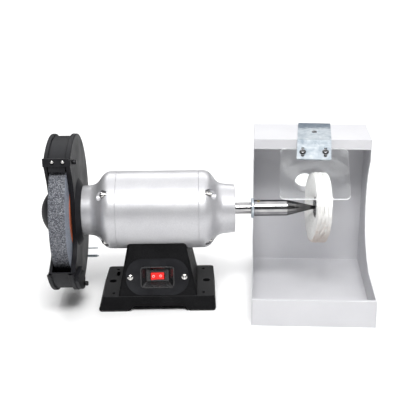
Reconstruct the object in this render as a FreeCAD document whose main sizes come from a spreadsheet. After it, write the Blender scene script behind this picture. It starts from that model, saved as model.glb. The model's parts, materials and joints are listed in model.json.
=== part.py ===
import FreeCAD, Part
import math
import os
import sys
import Sketcher

# Dental polishing lathe with a grinding wheel on its left shaft end, a cloth buff on its right one
# and a free-standing sheet-metal hood round the buff.
# X runs along the motor axis, towards the buff. Y points away from the operator. Z is up.
# The origin is on the bench, under the middle of the motor. All sizes are millimetres and degrees.

Vector = FreeCAD.Vector
COS_45 = math.sqrt(0.5)

# Angles up from the operator's side, in degrees
LUG_ANGLES = (100, 185, 280)
GUARD_SCREWS = (90, 210, 330)

SIZES = {
    # motor
    "axis_height": 135.0,
    "motor_radius": 55.0,
    "barrel_wall": 3.0,
    "barrel_left": 56.0,
    "barrel_right": 58.4,
    "seam_chamfer": 0.4,
    "fit_gap": 0.05,
    "spigot_length": 4.4,
    "bell_end": 109.2,
    "shoulder_start": 64.5,
    "shoulder_radius": 15.9,
    "shoulder_end_x": 77.3,
    "shoulder_end_radius": 48.0,
    "waist_start_x": 81.5,
    "waist_start_radius": 42.1,
    "waist_radius": 16.0,
    "waist_end_x": 93.0,
    "waist_end_radius": 35.65,
    "neck_end_radius": 34.0,
    "neck_chamfer": 0.6,
    "bell_bore": 47.5,
    "bearing_start": 91.0,
    "bearing_width": 12.0,
    "bearing_outer": 20.0,
    "bearing_inner": 8.5,
    "bearing_washer": 0.8,
    "end_wall_bore": 8.6,
    "ball_pitch": 14.3,
    "ball_radius": 3.3,
    "groove_radius": 3.38,
    "inner_ring_outer": 12.2,
    "outer_ring_inner": 16.4,
    "bolt_circle": 48.0,
    "bolt_seat": 67.7,
    "bolt_pocket": 7.2,
    "bolt_boss": 10.5,
    "bolt_radius": 2.5,
    "bolt_head_radius": 4.7,
    "bolt_head_height": 10.0,
    "nut_height": 4.0,
    "core_half": 30.0,
    "core_outer": 51.9,
    "core_bore": 29.0,
    "slot_root": 42.0,
    "slot_half": 2.0,
    "winding_end": 46.0,
    "winding_outer": 43.4,
    "winding_inner": 31.0,
    "rotor_radius": 28.5,
    "cage_ring_end": 36.0,
    "cage_ring_inner": 18.0,
    # shaft, wheel and spindle
    "shaft_radius": 8.0,
    "shaft_core": 11.0,
    "shaft_left_end": 158.0,
    "thread_radius": 6.0,
    "thread_start": 146.6,
    "collar_start": 113.6,
    "collar_end": 110.2,
    "collar_radius": 10.5,
    "shaft_right_end": 176.0,
    "wheel_right": 118.2,
    "wheel_left": 141.0,
    "wheel_radius": 89.0,
    "wheel_chamfer": 1.2,
    "label_radius": 50.0,
    "label_thickness": 0.6,
    "wheel_flange_radius": 22.0,
    "wheel_flange_right": 4.0,
    "wheel_flange_left": 6.0,
    "wheel_nut_height": 8.0,
    "wheel_nut_flats": 19.0,
    "washer_start": 132.8,
    "washer_thickness": 3.7,
    "washer_radius": 14.2,
    "spindle_radius": 11.4,
    "spindle_cone_start": 183.4,
    "spindle_tip": 228.5,
    "spindle_tip_radius": 0.6,
    "spindle_bore_end": 178.0,
    "set_screw_x": 143.0,
    "set_screw_radius": 2.5,
    "set_screw_angle": 78.0,
    "buff_radius": 49.2,
    "buff_half": 10.2,
    "buff_centre_x": 228.1,
    "buff_rim_round": 4.0,
    "buff_bore": 2.2,
    "buff_turn": -3.6,
    "buff_lean": 2.5,
    "buff_disc_radius": 14.6,
    "buff_disc": 1.4,
    "buff_recess": 5.8,
    "buff_rise": 42.0,
    # wheel guard
    "guard_radius": 110.6,
    "guard_drop": 2.0,
    "guard_rim_inner": 107.8,
    "guard_sheet": 2.0,
    "guard_lip": 5.8,
    "guard_right": 111.0,
    "guard_right_rim": 118.0,
    "guard_left": 146.6,
    "guard_left_rim": 141.0,
    "band_outer": 107.6,
    "dome_radius": 39.5,
    "dome_edge": 32.94,
    "dome_inner_edge": 31.85,
    "dome_depth": 17.7,
    "guard_hole": 14.0,
    "guard_screw_circle": 29.5,
    "guard_flange_radius": 46.0,
    "guard_flange_end": 104.5,
    "opening_top_y": 58.0,
    "opening_edge_y": 38.5,
    "lug_circle": 101.6,
    "lug_radius": 4.2,
    "lug_end": 138.0,
    "tab_front": 58.0,
    "tab_low": 78.0,
    "tab_high": 97.0,
    "tab_left": 140.8,
    "tab_right": 118.3,
    "tongue_left": 147.5,
    "tongue_right": 112.0,
    "tongue_low": 86.2,
    "tongue_high": 97.4,
    "tongue_screw_height": 92.8,
    "tongue_screw_left": 134.7,
    "tongue_screw_right": 120.7,
    "tongue_slot_low": 89.9,
    "tongue_slot_high": 93.5,
    "tongue_screw": 1.5,
    "slot_half_width": 2.2,
    "small_screw": 2.0,
    "rest_plate": 5.0,
    "rest_bolt_y": 47.0,
    "rest_bolt_drop": 72.0,
    "rest_knob_y": 28.0,
    "rest_knob_drop": 99.5,
    "top_knob_y": 38.3,
    "top_knob_rise": 86.0,
    "knob_radius": 3.4,
    "stud_circle": 113.6,
    "rear_lug_start": 124.0,
    "rear_lug_end": 118.3,
    # base
    "pad_height": 2.5,
    "foot_low_x": 83.1,
    "foot_low_y": 53.0,
    "foot_top_x": 78.7,
    "foot_top_y": 51.7,
    "foot_shift": -1.9,
    "foot_skew": 2.5,
    "foot_top": 23.2,
    "casting_wall": 5.0,
    "pedestal_low_x": 56.2,
    "pedestal_shift": -0.8,
    "pedestal_low_y": 51.7,
    "pedestal_top_x": 40.2,
    "pedestal_top_y": 42.5,
    "pedestal_top": 100.0,
    "foot_corner": 5.0,
    "pedestal_corner": 4.0,
    "arch_low_x": 41.5,
    "arch_top_x": 37.0,
    "arch_height": 8.3,
    "bench_hole_x": 68.3,
    "bench_hole": 5.3,
    "bench_boss": 9.8,
    "corner_hole_x": 64.0,
    "corner_hole_y": 40.0,
    "corner_hole": 2.4,
    "side_slot_x": 62.3,
    "side_slot_y": 25.0,
    "side_slot_half": 5.0,
    "plate_boss_x": 43.5,
    "plate_boss_y": 40.0,
    "plate_boss": 6.5,
    "base_plate_x": 49.0,
    "base_plate_y": 45.5,
    "base_plate": 1.5,
    "base_plate_low": 8.6,
    "motor_screw_x": 28.0,
    "motor_screw": 3.0,
    "capacitor_radius": 17.0,
    "capacitor_length": 64.0,
    "capacitor_y": 13.0,
    "capacitor_height": 29.0,
    "gland_height": 38.0,
    "gland_bore": 3.6,
    # switch
    "switch_height": 51.5,
    "switch_plate_x": 44.0,
    "switch_plate_y": 27.0,
    "switch_plate_corner": 24.0,
    "switch_plate": 0.6,
    "switch_screw_x": 38.0,
    "bezel_x": 23.9,
    "bezel_y": 15.9,
    "bezel_lip": 1.2,
    "dish_top_x": 22.3,
    "dish_top_y": 14.3,
    "dish_floor_x": 15.7,
    "dish_floor_y": 8.4,
    "dish_depth": 8.2,
    "dish_wall": 1.3,
    "rocker_half_x": 9.3,
    "rocker_half_y": 5.0,
    "frame_half_x": 12.4,
    "frame_half_y": 7.0,
    "frame_opening_x": 10.5,
    "frame_opening_y": 5.3,
    "frame_lip": 1.6,
    "rocker_pivot": 3.0,
    "rocker_pin": 1.2,
    # hood
    "hood_x": 143.9,
    "hood_y": 128.95,
    "hood_turn": -3.9,
    "hood_width": 169.2,
    "hood_height": 223.4,
    "hood_depth": 84.0,
    "lip_bottom": 208.6,
    "sheet": 1.2,
    "tray_depth": 228.0,
    "tray_front": 39.4,
    "tray_hem": 5.0,
    "edge_straight": 193.0,
    "edge_deep_y": 57.5,
    "edge_deep_z": 123.0,
    "edge_upper_radius": 105.7,
    "edge_lower_radius": 77.7,
    "edge_low_y": 94.0,
    "edge_low_z": 54.0,
    "edge_sweep_y": 106.0,
    "edge_sweep_z": 45.9,
    "edge_sweep_radius": 40.0,
    "edge_flat_y": 130.0,
    "edge_flat_z": 37.6,
    "edge_front_z": 38.4,
    "duct_x": 79.5,
    "duct_height": 129.3,
    "duct_radius": 14.8,
    "duct_length": 25.0,
    "duct_flange": 21.0,
    # shield and its bracket
    "bracket_x": 88.6,
    "bracket_y": 52.0,
    "bracket_turn": -3.2,
    "bracket_half": 24.0,
    "bracket_sheet": 2.0,
    "bracket_back": 50.5,
    "bracket_fold": 40.5,
    "leg_length": 36.9,
    "leg_lean": 60.0,
    "leg_slot_x": 15.9,
    "leg_slot_start": 16.4,
    "leg_slot_end": 30.4,
    "leg_screw": 23.4,
    "shield_half": 47.5,
    "shield_start": 14.4,
    "shield_end": 107.0,
    "shield_sheet": 2.5,
    "shield_corner": 7.0,
    "shield_turn": 2.0,
}


class Size:
    """A number that also carries the sheet expression it comes from."""

    def __init__(self, value, text):
        self.value = value
        self.text = text

    def _with(self, other, sign, value):
        return Size(value, "(" + self.text + " " + sign + " " + text_of(other) + ")")

    def __add__(self, other):
        return self._with(other, "+", self.value + value_of(other))

    def __sub__(self, other):
        return self._with(other, "-", self.value - value_of(other))

    def __radd__(self, other):
        return self + other

    def __rsub__(self, other):
        return -self + other

    def __mul__(self, other):
        return self._with(other, "*", self.value * value_of(other))

    def __truediv__(self, other):
        return self._with(other, "/", self.value / value_of(other))

    def __neg__(self):
        return Size(-self.value, "(-1 * " + self.text + ")")


def value_of(size):
    return size.value if isinstance(size, Size) else float(size)


def text_of(size):
    return size.text if isinstance(size, Size) else repr(float(size))


class Dimensions:
    """One Size for each cell of the sheet, under the cell's own alias."""

    def __init__(self, sizes):
        for alias, value in sizes.items():
            setattr(self, alias, Size(value, "Sizes." + alias))


doc = FreeCAD.newDocument("polishing_lathe")
sheet = doc.addObject("Spreadsheet::Sheet", "Sizes")
for row, (alias, number) in enumerate(SIZES.items(), start=1):
    sheet.set("A" + str(row), alias.replace("_", " "))
    sheet.set("B" + str(row), str(number))
    sheet.setAlias("B" + str(row), alias)
doc.recompute()
d = Dimensions(SIZES)
nodes = []


# Ways to make a piece

def bind(target, name, size):
    """Set a property and tie it to the sheet."""
    if isinstance(size, Size):
        target.setExpression(name, size.text)


def keep(piece, label):
    """Name a finished sub-part and list it for export."""
    piece.Label = label
    nodes.append(piece)
    return piece


def new_body(name):
    return doc.addObject("PartDesign::Body", name)


def new_sketch(body, role, offset=0.0):
    """A sketch on one of the body's own origin planes, moved along the plane's normal."""
    sketch = body.newObject("Sketcher::SketchObject", body.Name + "_sketch")
    plane = [item for item in body.Origin.OriginFeatures if item.Role == role][0]
    sketch.AttachmentSupport = [(plane, "")]
    sketch.MapMode = "FlatFace"
    sketch.AttachmentOffset = FreeCAD.Placement(Vector(0, 0, value_of(offset)), FreeCAD.Rotation())
    bind(sketch, "AttachmentOffset.Base.z", offset)
    return sketch


def constrain(sketch, kind, geometry, vertex, size):
    """Hold one coordinate of a vertex at a size from the sheet."""
    if abs(value_of(size)) < 1e-9:
        axis = -2 if kind == "DistanceX" else -1
        sketch.addConstraint(Sketcher.Constraint("PointOnObject", geometry, vertex, axis))
        return
    index = sketch.addConstraint(Sketcher.Constraint(kind, -1, 1, geometry, vertex, value_of(size)))
    bind(sketch, "Constraints[" + str(index) + "]", size)


def arc_through(start, end, radius):
    """The shorter arc between two points; a negative radius turns to the right."""
    chord = end.sub(start)
    middle = (start + end) * 0.5
    height = math.sqrt(max(radius * radius - chord.Length * chord.Length / 4.0, 0.0))
    left = Vector(-chord.y, chord.x, 0).normalize()
    centre = middle + left * (height if radius > 0 else -height)
    first, last = (start, end) if radius > 0 else (end, start)
    angles = [math.atan2(point.y - centre.y, point.x - centre.x) for point in (first, last)]
    if angles[1] < angles[0]:
        angles[1] += 2 * math.pi
    return Part.ArcOfCircle(Part.Circle(centre, Vector(0, 0, 1), abs(radius)), *angles)


def outline(sketch, steps):
    """Close a loop of lines and arcs. A step is (x, y), or (x, y, radius, turn) to arrive by an arc."""
    edges = []
    for start, end in zip(steps[-1:] + steps[:-1], steps):
        first = Vector(value_of(start[0]), value_of(start[1]), 0)
        last = Vector(value_of(end[0]), value_of(end[1]), 0)
        if len(end) == 2:
            edges.append((sketch.addGeometry(Part.LineSegment(first, last), False), 1, 2))
            continue
        radius = end[2]
        turn = end[3]
        geometry = sketch.addGeometry(arc_through(first, last, value_of(radius) * turn), False)
        index = sketch.addConstraint(Sketcher.Constraint("Radius", geometry, value_of(radius)))
        bind(sketch, "Constraints[" + str(index) + "]", radius)
        edges.append((geometry, 1, 2) if turn > 0 else (geometry, 2, 1))
    for previous, current in zip(edges[-1:] + edges[:-1], edges):
        sketch.addConstraint(
            Sketcher.Constraint("Coincident", previous[0], previous[2], current[0], current[1]))
    for edge, step in zip(edges, steps):
        constrain(sketch, "DistanceX", edge[0], edge[2], step[0])
        constrain(sketch, "DistanceY", edge[0], edge[2], step[1])


def circle(sketch, x, y, radius):
    centre = Vector(value_of(x), value_of(y), 0)
    geometry = sketch.addGeometry(Part.Circle(centre, Vector(0, 0, 1), value_of(radius)), False)
    index = sketch.addConstraint(Sketcher.Constraint("Radius", geometry, value_of(radius)))
    bind(sketch, "Constraints[" + str(index) + "]", radius)
    constrain(sketch, "DistanceX", geometry, 3, x)
    constrain(sketch, "DistanceY", geometry, 3, y)


def rectangle(sketch, low_x, low_y, high_x, high_y):
    outline(sketch, [(low_x, low_y), (high_x, low_y), (high_x, high_y), (low_x, high_y)])


def rounded(sketch, half_x, half_y, corner, middle_y=0.0):
    """A rectangle with round corners, centred on the sketch's Y axis."""
    low = middle_y - half_y
    high = half_y + middle_y
    outline(sketch, [
        (half_x - corner, low),
        (half_x, low + corner, corner, 1),
        (half_x, high - corner),
        (half_x - corner, high, corner, 1),
        (corner - half_x, high),
        (-half_x, high - corner, corner, 1),
        (-half_x, low + corner),
        (corner - half_x, low, corner, 1),
    ])


def slot(sketch, x, low, high, half):
    """An upright slot whose end arcs are centred at low and high."""
    bend = half * 1.002
    outline(sketch, [
        (x + half, high),
        (x - half, high, bend, 1),
        (x - half, low),
        (x + half, low, bend, 1),
    ])


def pad(body, sketch, length, reverse=False):
    feature = body.newObject("PartDesign::Pad", body.Name + "_pad")
    feature.Profile = sketch
    feature.Length = value_of(length)
    feature.Reversed = reverse
    bind(feature, "Length", length)
    return feature


def pocket(body, sketch, length, reverse=False):
    """Cut a sketch into the body; the volume has to drop."""
    doc.recompute()
    before = body.Shape.Volume
    feature = body.newObject("PartDesign::Pocket", body.Name + "_pocket")
    feature.Profile = sketch
    feature.Length = value_of(length)
    feature.Reversed = reverse
    bind(feature, "Length", length)
    doc.recompute()
    if not body.Shape.Volume < before - 1e-6:
        sys.exit(body.Name + ": a pocket cuts nothing")
    return feature


def repeat_round(body, feature, count):
    """Repeat a feature round the motor axis."""
    pattern = body.newObject("PartDesign::PolarPattern", body.Name + "_pattern")
    pattern.Originals = [feature]
    axis = [item for item in body.Origin.OriginFeatures if item.Role == "X_Axis"][0]
    pattern.Axis = (axis, [""])
    pattern.Angle = 360
    pattern.Occurrences = count
    body.Tip = pattern
    return pattern


def revolve(body, sketch, axis="H_Axis"):
    feature = body.newObject("PartDesign::Revolution", body.Name + "_turn")
    feature.Profile = sketch
    feature.ReferenceAxis = (sketch, [axis])
    feature.Angle = 360
    return feature


def turned(name, steps):
    """A body turned about X; each step gives a place along X and a radius."""
    body = new_body(name)
    sketch = new_sketch(body, "XZ_Plane")
    outline(sketch, steps)
    revolve(body, sketch)
    return body


def ring(name, low, high, inner, outer):
    return turned(name, [(low, inner), (high, inner), (high, outer), (low, outer)])


def rod(name, radius, length, base, along="X"):
    """A plain cylinder that starts at base and runs along one axis."""
    piece = doc.addObject("Part::Cylinder", name)
    piece.Radius = value_of(radius)
    piece.Height = value_of(length)
    bind(piece, "Radius", radius)
    bind(piece, "Height", length)
    turns = {
        "X": FreeCAD.Rotation(Vector(0, 1, 0), 90),
        "Y": FreeCAD.Rotation(Vector(1, 0, 0), -90),
        "Z": FreeCAD.Rotation(),
    }
    place(piece, base, turns[along])
    return piece


def block(name, low, size):
    piece = doc.addObject("Part::Box", name)
    for side, length in zip(("Length", "Width", "Height"), size):
        setattr(piece, side, value_of(length))
        bind(piece, side, length)
    place(piece, low, FreeCAD.Rotation())
    return piece


def frustum(name, low, high, base, top, shift=0.0, skew=0.0):
    """A tapered block of half sizes base and top, moved along X by shift and, at its top, by skew."""
    piece = doc.addObject("Part::Wedge", name)
    values = {
        "Xmin": -base[0], "Xmax": base[0], "Zmin": -base[1], "Zmax": base[1],
        "X2min": skew - top[0], "X2max": skew + top[0], "Z2min": -top[1], "Z2max": top[1],
        "Ymin": low, "Ymax": high,
    }
    for side, length in values.items():
        setattr(piece, side, value_of(length))
        bind(piece, side, length)
    place(piece, (shift, 0.0, 0.0), FreeCAD.Rotation(Vector(1, 0, 0), 90))
    return piece


def place(piece, base, rotation=None):
    """Put a piece at a point given in sizes, so that its place follows the sheet."""
    turn = rotation if rotation else FreeCAD.Rotation()
    piece.Placement = FreeCAD.Placement(Vector(*[value_of(item) for item in base]), turn)
    for axis, item in zip("xyz", base):
        bind(piece, "Placement.Base." + axis, item)


def cut(name, base, tool):
    piece = doc.addObject("Part::Cut", name)
    piece.Base = base
    piece.Tool = tool
    return piece


def common(name, base, tool):
    piece = doc.addObject("Part::Common", name)
    piece.Base = base
    piece.Tool = tool
    return piece


def fuse(name, pieces):
    piece = doc.addObject("Part::MultiFuse", name)
    piece.Shapes = pieces
    return piece


def round_edges(name, base, radius, wanted):
    """Round the edges that wanted picks by their direction and middle."""
    doc.recompute()
    piece = doc.addObject("Part::Fillet", name)
    piece.Base = base
    piece.Edges = [
        (number, value_of(radius), value_of(radius))
        for number, edge in enumerate(base.Shape.Edges, start=1)
        if wanted(edge)
    ]
    return piece


def soften(body, radius, wanted):
    """Round edges of a body with a fillet feature."""
    doc.recompute()
    base = body.Tip
    names = [
        "Edge" + str(number)
        for number, edge in enumerate(base.Shape.Edges, start=1)
        if wanted(edge)
    ]
    feature = body.newObject("PartDesign::Fillet", body.Name + "_fillet")
    feature.Base = (base, names)
    feature.Radius = value_of(radius)
    bind(feature, "Radius", radius)
    return feature


def upright(edge):
    """True for a straight edge that mostly rises."""
    start = edge.Vertexes[0].Point
    rise = edge.Vertexes[-1].Point - start
    return rise.Length > 1 and abs(rise.z) > 0.8 * rise.Length


def on_axis(piece, label):
    """Finish a piece that was drawn about the motor axis."""
    place(piece, (0.0, 0.0, d.axis_height))
    return keep(piece, label)


def polar(radius, angle):
    """A point in the Y-Z plane, at an angle up from the operator's side."""
    return (-radius * math.cos(math.radians(angle)), radius * math.sin(math.radians(angle)))


def group(label, source, placements):
    """Several copies of one fastener in one node, as separate solids."""
    doc.recompute()
    shapes = []
    for placement in placements:
        shape = source.Shape.copy()
        shape.Placement = placement.multiply(shape.Placement)
        shapes.append(shape)
    piece = doc.addObject("Part::Feature", label)
    piece.Shape = Part.makeCompound(shapes)
    return keep(piece, label)


def along_x(x, y, z, turn=0.0):
    """A fastener's place when its head points to +X; turn 180 points it to -X."""
    tilt = FreeCAD.Rotation(Vector(0, 1, 0), 90 + turn)
    return FreeCAD.Placement(Vector(x, y, z), tilt)


# Fasteners, drawn with the seat of the head at z = 0 and the head above it

def screw(name, radius, length, head_radius, head_height, drive, dome_share=0.7):
    """A domed screw with a cross, slot or socket in its head."""
    body = new_body(name)
    sketch = new_sketch(body, "XZ_Plane")
    rise = head_height * dome_share
    dome = (head_radius * head_radius + rise * rise) / (2 * rise)
    outline(sketch, [
        (0.0, -length),
        (radius - 0.4, -length),
        (radius, -length + 0.6),
        (radius, 0.0),
        (head_radius, 0.0),
        (head_radius, head_height - rise),
        (0.0, head_height, dome, 1),
    ])
    revolve(body, sketch, "V_Axis")
    arm = head_radius * 0.62
    half = head_radius * 0.13
    crossing = new_sketch(body, "XY_Plane", head_height + 1)
    if drive == "cross":
        outline(crossing, [
            (arm, -half), (arm, half), (half, half), (half, arm), (-half, arm), (-half, half),
            (-arm, half), (-arm, -half), (-half, -half), (-half, -arm), (half, -arm), (half, -half),
        ])
    elif drive == "slot":
        rectangle(crossing, -head_radius - 1, -half * 1.4, head_radius + 1, half * 1.4)
    else:
        circle(crossing, 0.0, 0.0, head_radius * 0.5)
    pocket(body, crossing, rise * 0.8 + 1)
    return body


def hexagon(name, flats, height, bore):
    """A hexagon nut on the plane z = 0."""
    body = new_body(name)
    sketch = new_sketch(body, "XY_Plane")
    corner = flats / math.sqrt(3.0)
    outline(sketch, [
        (corner * math.cos(math.radians(60 * step)), corner * math.sin(math.radians(60 * step)))
        for step in range(6)
    ])
    circle(sketch, 0.0, 0.0, bore)
    pad(body, sketch, height)
    return body


# Motor

def motor_barrel():
    left = d.barrel_left
    right = d.barrel_right
    outer = d.motor_radius
    chamfer = d.seam_chamfer
    inner = outer - d.barrel_wall
    barrel = turned("barrel", [
        (-left, inner), (right, inner), (right, outer - chamfer), (right - chamfer, outer),
        (chamfer - left, outer), (-left, outer - chamfer),
    ])
    holes = fuse("barrel_holes", [
        rod("barrel_hole", d.motor_screw + d.fit_gap, 20.0,
            (d.motor_screw_x * side, 0.0, -outer - 5), "Z")
        for side in (-1, 1)
    ])
    on_axis(cut("motor_barrel_cut", barrel, holes), "motor_barrel")


def four_rods(name, radius, low, length):
    """Cylinders along X at the four tie bolts."""
    across = d.bolt_circle * COS_45
    return fuse(name, [
        rod(name + "_rod", radius, length, (low, across * side_y, across * side_z))
        for side_y in (-1, 1) for side_z in (-1, 1)
    ])


def end_bell(side, label):
    """A cast end bell with a shoulder, a waist and a neck; side is 1 on the right, -1 on the left."""

    def at(x, radius, *arc):
        return (x * side, radius) if not arc else (x * side, radius, arc[0], arc[1] * side)

    seam = d.barrel_right if side > 0 else d.barrel_left
    spigot = seam - d.spigot_length
    register = d.motor_radius - d.barrel_wall - d.fit_gap
    seat = d.bearing_start + d.bearing_width + d.bearing_washer
    outer = turned(label + "_outer", [
        at(spigot, 0.0),
        at(spigot, register),
        at(seam, register),
        at(seam, d.motor_radius - d.seam_chamfer),
        at(seam + d.seam_chamfer, d.motor_radius),
        at(d.shoulder_start, d.motor_radius),
        at(d.shoulder_end_x, d.shoulder_end_radius, d.shoulder_radius, -1),
        at(d.waist_start_x, d.waist_start_radius),
        at(d.waist_end_x, d.waist_end_radius, d.waist_radius, 1),
        at(d.bell_end - d.neck_chamfer, d.neck_end_radius),
        at(d.bell_end, d.neck_end_radius - d.neck_chamfer),
        at(d.bell_end, 0.0),
    ])
    cavity = turned(label + "_cavity", [
        at(spigot - 1, 0.0),
        at(spigot - 1, d.bell_bore),
        at(70.0, d.bell_bore),
        at(76.0, 43.0),
        at(84.0, 34.0),
        at(90.0, 27.0),
        at(90.0, d.bearing_outer + 0.02),
        at(seat, d.bearing_outer + 0.02),
        at(seat, 15.0),
        at(seat + 1, 15.0),
        at(seat + 1, d.end_wall_bore),
        at(d.bell_end + 1, d.end_wall_bore),
        at(d.bell_end + 1, 0.0),
    ])
    boss_start = seam if side > 0 else -(seam + 30)
    bosses = four_rods(label + "_bosses", d.bolt_boss, boss_start, 30.0)
    pocket_start = d.bolt_seat if side > 0 else -(d.bolt_seat + 30)
    pockets = four_rods(label + "_pockets", d.bolt_pocket, pocket_start, 30.0)
    hole_start = d.bolt_seat - 25 if side > 0 else -(d.bolt_seat + 5)
    holes = four_rods(label + "_holes", d.bolt_radius + 0.2, hole_start, 30.0)
    shell = cut(label + "_shell", outer, cavity)
    filled = fuse(label + "_filled", [shell, common(label + "_boss_part", outer, bosses)])
    bored = cut(label + "_bored", filled, fuse(label + "_tools", [pockets, holes]))
    if side > 0:
        return on_axis(bored, label)
    screws = []
    for angle in GUARD_SCREWS:
        across, rise = polar(d.guard_screw_circle.value, angle)
        screws.append(rod(label + "_screw_hole", d.bolt_radius + d.fit_gap, 14.0,
                          (-(d.bell_end + 1), across, rise - d.guard_drop)))
    screws = fuse(label + "_screw_holes", screws)
    return on_axis(cut(label + "_tapped", bored, screws), label)


def tie_bolts():
    seat = d.bolt_seat.value
    height = d.axis_height.value
    across = d.bolt_circle.value * COS_45
    corners = [(side_y * across, height + side_z * across) for side_y in (-1, 1) for side_z in (-1, 1)]
    bolt = screw("tie_bolt", d.bolt_radius.value, 2 * seat + 9, d.bolt_head_radius.value,
                 d.bolt_head_height.value, "slot", 0.3)
    group("tie_bolts", bolt, [along_x(-seat, y, z, 180) for y, z in corners])
    nut = hexagon("tie_bolt_nut", 8.0, d.nut_height, d.bolt_radius + d.fit_gap)
    group("tie_bolt_nuts", nut, [along_x(seat, y, z) for y, z in corners])


def stator():
    body = new_body("core")
    sketch = new_sketch(body, "YZ_Plane", -d.core_half)
    circle(sketch, 0.0, 0.0, d.core_outer)
    circle(sketch, 0.0, 0.0, d.core_bore)
    pad(body, sketch, d.core_half * 2)
    slots = new_sketch(body, "YZ_Plane", -d.core_half)
    mouth = 0.9
    outline(slots, [
        (-mouth, d.core_bore - 1), (mouth, d.core_bore - 1), (mouth, d.core_bore + 2),
        (d.slot_half, d.core_bore + 3), (d.slot_half, d.slot_root),
        (-d.slot_half, d.slot_root), (-d.slot_half, d.core_bore + 3), (-mouth, d.core_bore + 2),
    ])
    repeat_round(body, pocket(body, slots, d.core_half * 2, True), 24)
    grooves = four_rods("core_grooves", d.bolt_radius + 1.7, -d.core_half - 1, d.core_half * 2 + 2)
    on_axis(cut("core_grooved", body, grooves), "stator_core")

    coil = new_body("coil")
    ends = new_sketch(coil, "XZ_Plane")
    bar = 1.6
    low = d.winding_inner + 1
    high = d.winding_outer - 2
    outline(ends, [
        (-d.core_half - 0.2, low), (-d.core_half - 0.2, high),
        (-d.winding_end + 3, high), (-d.winding_end, high - 3, 3.0, 1),
        (-d.winding_end, low + 3), (-d.winding_end + 3, low, 3.0, 1),
    ])
    revolve(coil, ends)
    bars = new_sketch(coil, "YZ_Plane", -d.core_half - 1)
    rectangle(bars, -bar, low + 0.6, bar, d.slot_root - 1)
    repeat_round(coil, pad(coil, bars, d.core_half * 2 + 2), 24)
    other = new_sketch(coil, "XZ_Plane")
    outline(other, [
        (d.core_half + 0.2, low), (d.winding_end - 3, low), (d.winding_end, low + 3, 3.0, 1),
        (d.winding_end, high - 3), (d.winding_end - 3, high, 3.0, 1), (d.core_half + 0.2, high),
    ])
    revolve(coil, other)
    on_axis(coil, "stator_windings")


def bearing_parts():
    """Deep-groove bearings at both ends, each part once for both sides."""
    start = d.bearing_start
    end = d.bearing_start + d.bearing_width
    middle = d.bearing_start.value + d.bearing_width.value / 2
    reach = d.groove_radius
    half_inner = math.sqrt(reach.value ** 2 - (d.ball_pitch.value - d.inner_ring_outer.value) ** 2)
    half_outer = math.sqrt(reach.value ** 2 - (d.outer_ring_inner.value - d.ball_pitch.value) ** 2)
    inner = turned("ring_inner", [
        (start, d.bearing_inner), (end, d.bearing_inner), (end, d.inner_ring_outer),
        (middle + half_inner, d.inner_ring_outer),
        (middle - half_inner, d.inner_ring_outer, reach, -1),
        (start, d.inner_ring_outer),
    ])
    outer = turned("ring_outer", [
        (start, d.outer_ring_inner), (middle - half_outer, d.outer_ring_inner),
        (middle + half_outer, d.outer_ring_inner, reach, -1),
        (end, d.outer_ring_inner), (end, d.bearing_outer), (start, d.bearing_outer),
    ])
    balls = []
    for step in range(8):
        ball = doc.addObject("Part::Sphere", "ball")
        ball.Radius = d.ball_radius.value
        bind(ball, "Radius", d.ball_radius)
        place(ball, (middle, *polar(d.ball_pitch.value, 45 * step)))
        balls.append(ball)
    cage = ring("cage", middle - 1.2, middle + 1.2, d.ball_pitch - 0.8, d.ball_pitch + 0.8)
    necklace = fuse("necklace", balls + [cage])
    washer = ring("wave_washer", end, end + d.bearing_washer, 16.6, 19.6)
    lift = Vector(0, 0, d.axis_height.value)
    both = [
        FreeCAD.Placement(lift, FreeCAD.Rotation()),
        FreeCAD.Placement(lift, FreeCAD.Rotation(Vector(0, 0, 1), 180)),
    ]
    group("bearing_inner_rings", inner, both)
    group("bearing_outer_rings", outer, both)
    group("bearing_balls", necklace, both)
    group("bearing_washers", washer, both)


# Rotor, wheel and spindle

def rotor():
    start = d.bearing_start
    seat = d.bearing_inner
    plain = d.shaft_radius
    step_out = start + d.bearing_width + 1
    on_axis(turned("shaft_body", [
        (-d.shaft_left_end, 0.0), (-d.shaft_left_end, d.thread_radius - 0.8),
        (-d.shaft_left_end + 0.8, d.thread_radius), (-d.thread_start, d.thread_radius),
        (-d.thread_start, plain), (-d.collar_start, plain), (-d.collar_start, d.collar_radius),
        (-d.collar_end, d.collar_radius), (-d.collar_end, plain), (-step_out, plain),
        (-step_out, seat), (-start, seat), (-start, d.shaft_core), (start, d.shaft_core),
        (start, seat), (step_out, seat), (step_out, plain), (d.shaft_right_end - 1, plain),
        (d.shaft_right_end, plain - 1), (d.shaft_right_end, 0.0),
    ]), "shaft")
    on_axis(ring("rotor_stack", -d.core_half, d.core_half, d.shaft_core, d.rotor_radius), "rotor_core")
    cage = ring("cage_ring", d.core_half, d.cage_ring_end, d.cage_ring_inner, d.rotor_radius - 1)
    lift = Vector(0, 0, d.axis_height.value)
    group("rotor_cage_rings", cage, [
        FreeCAD.Placement(lift, FreeCAD.Rotation()),
        FreeCAD.Placement(lift, FreeCAD.Rotation(Vector(0, 0, 1), 180)),
    ])


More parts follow.
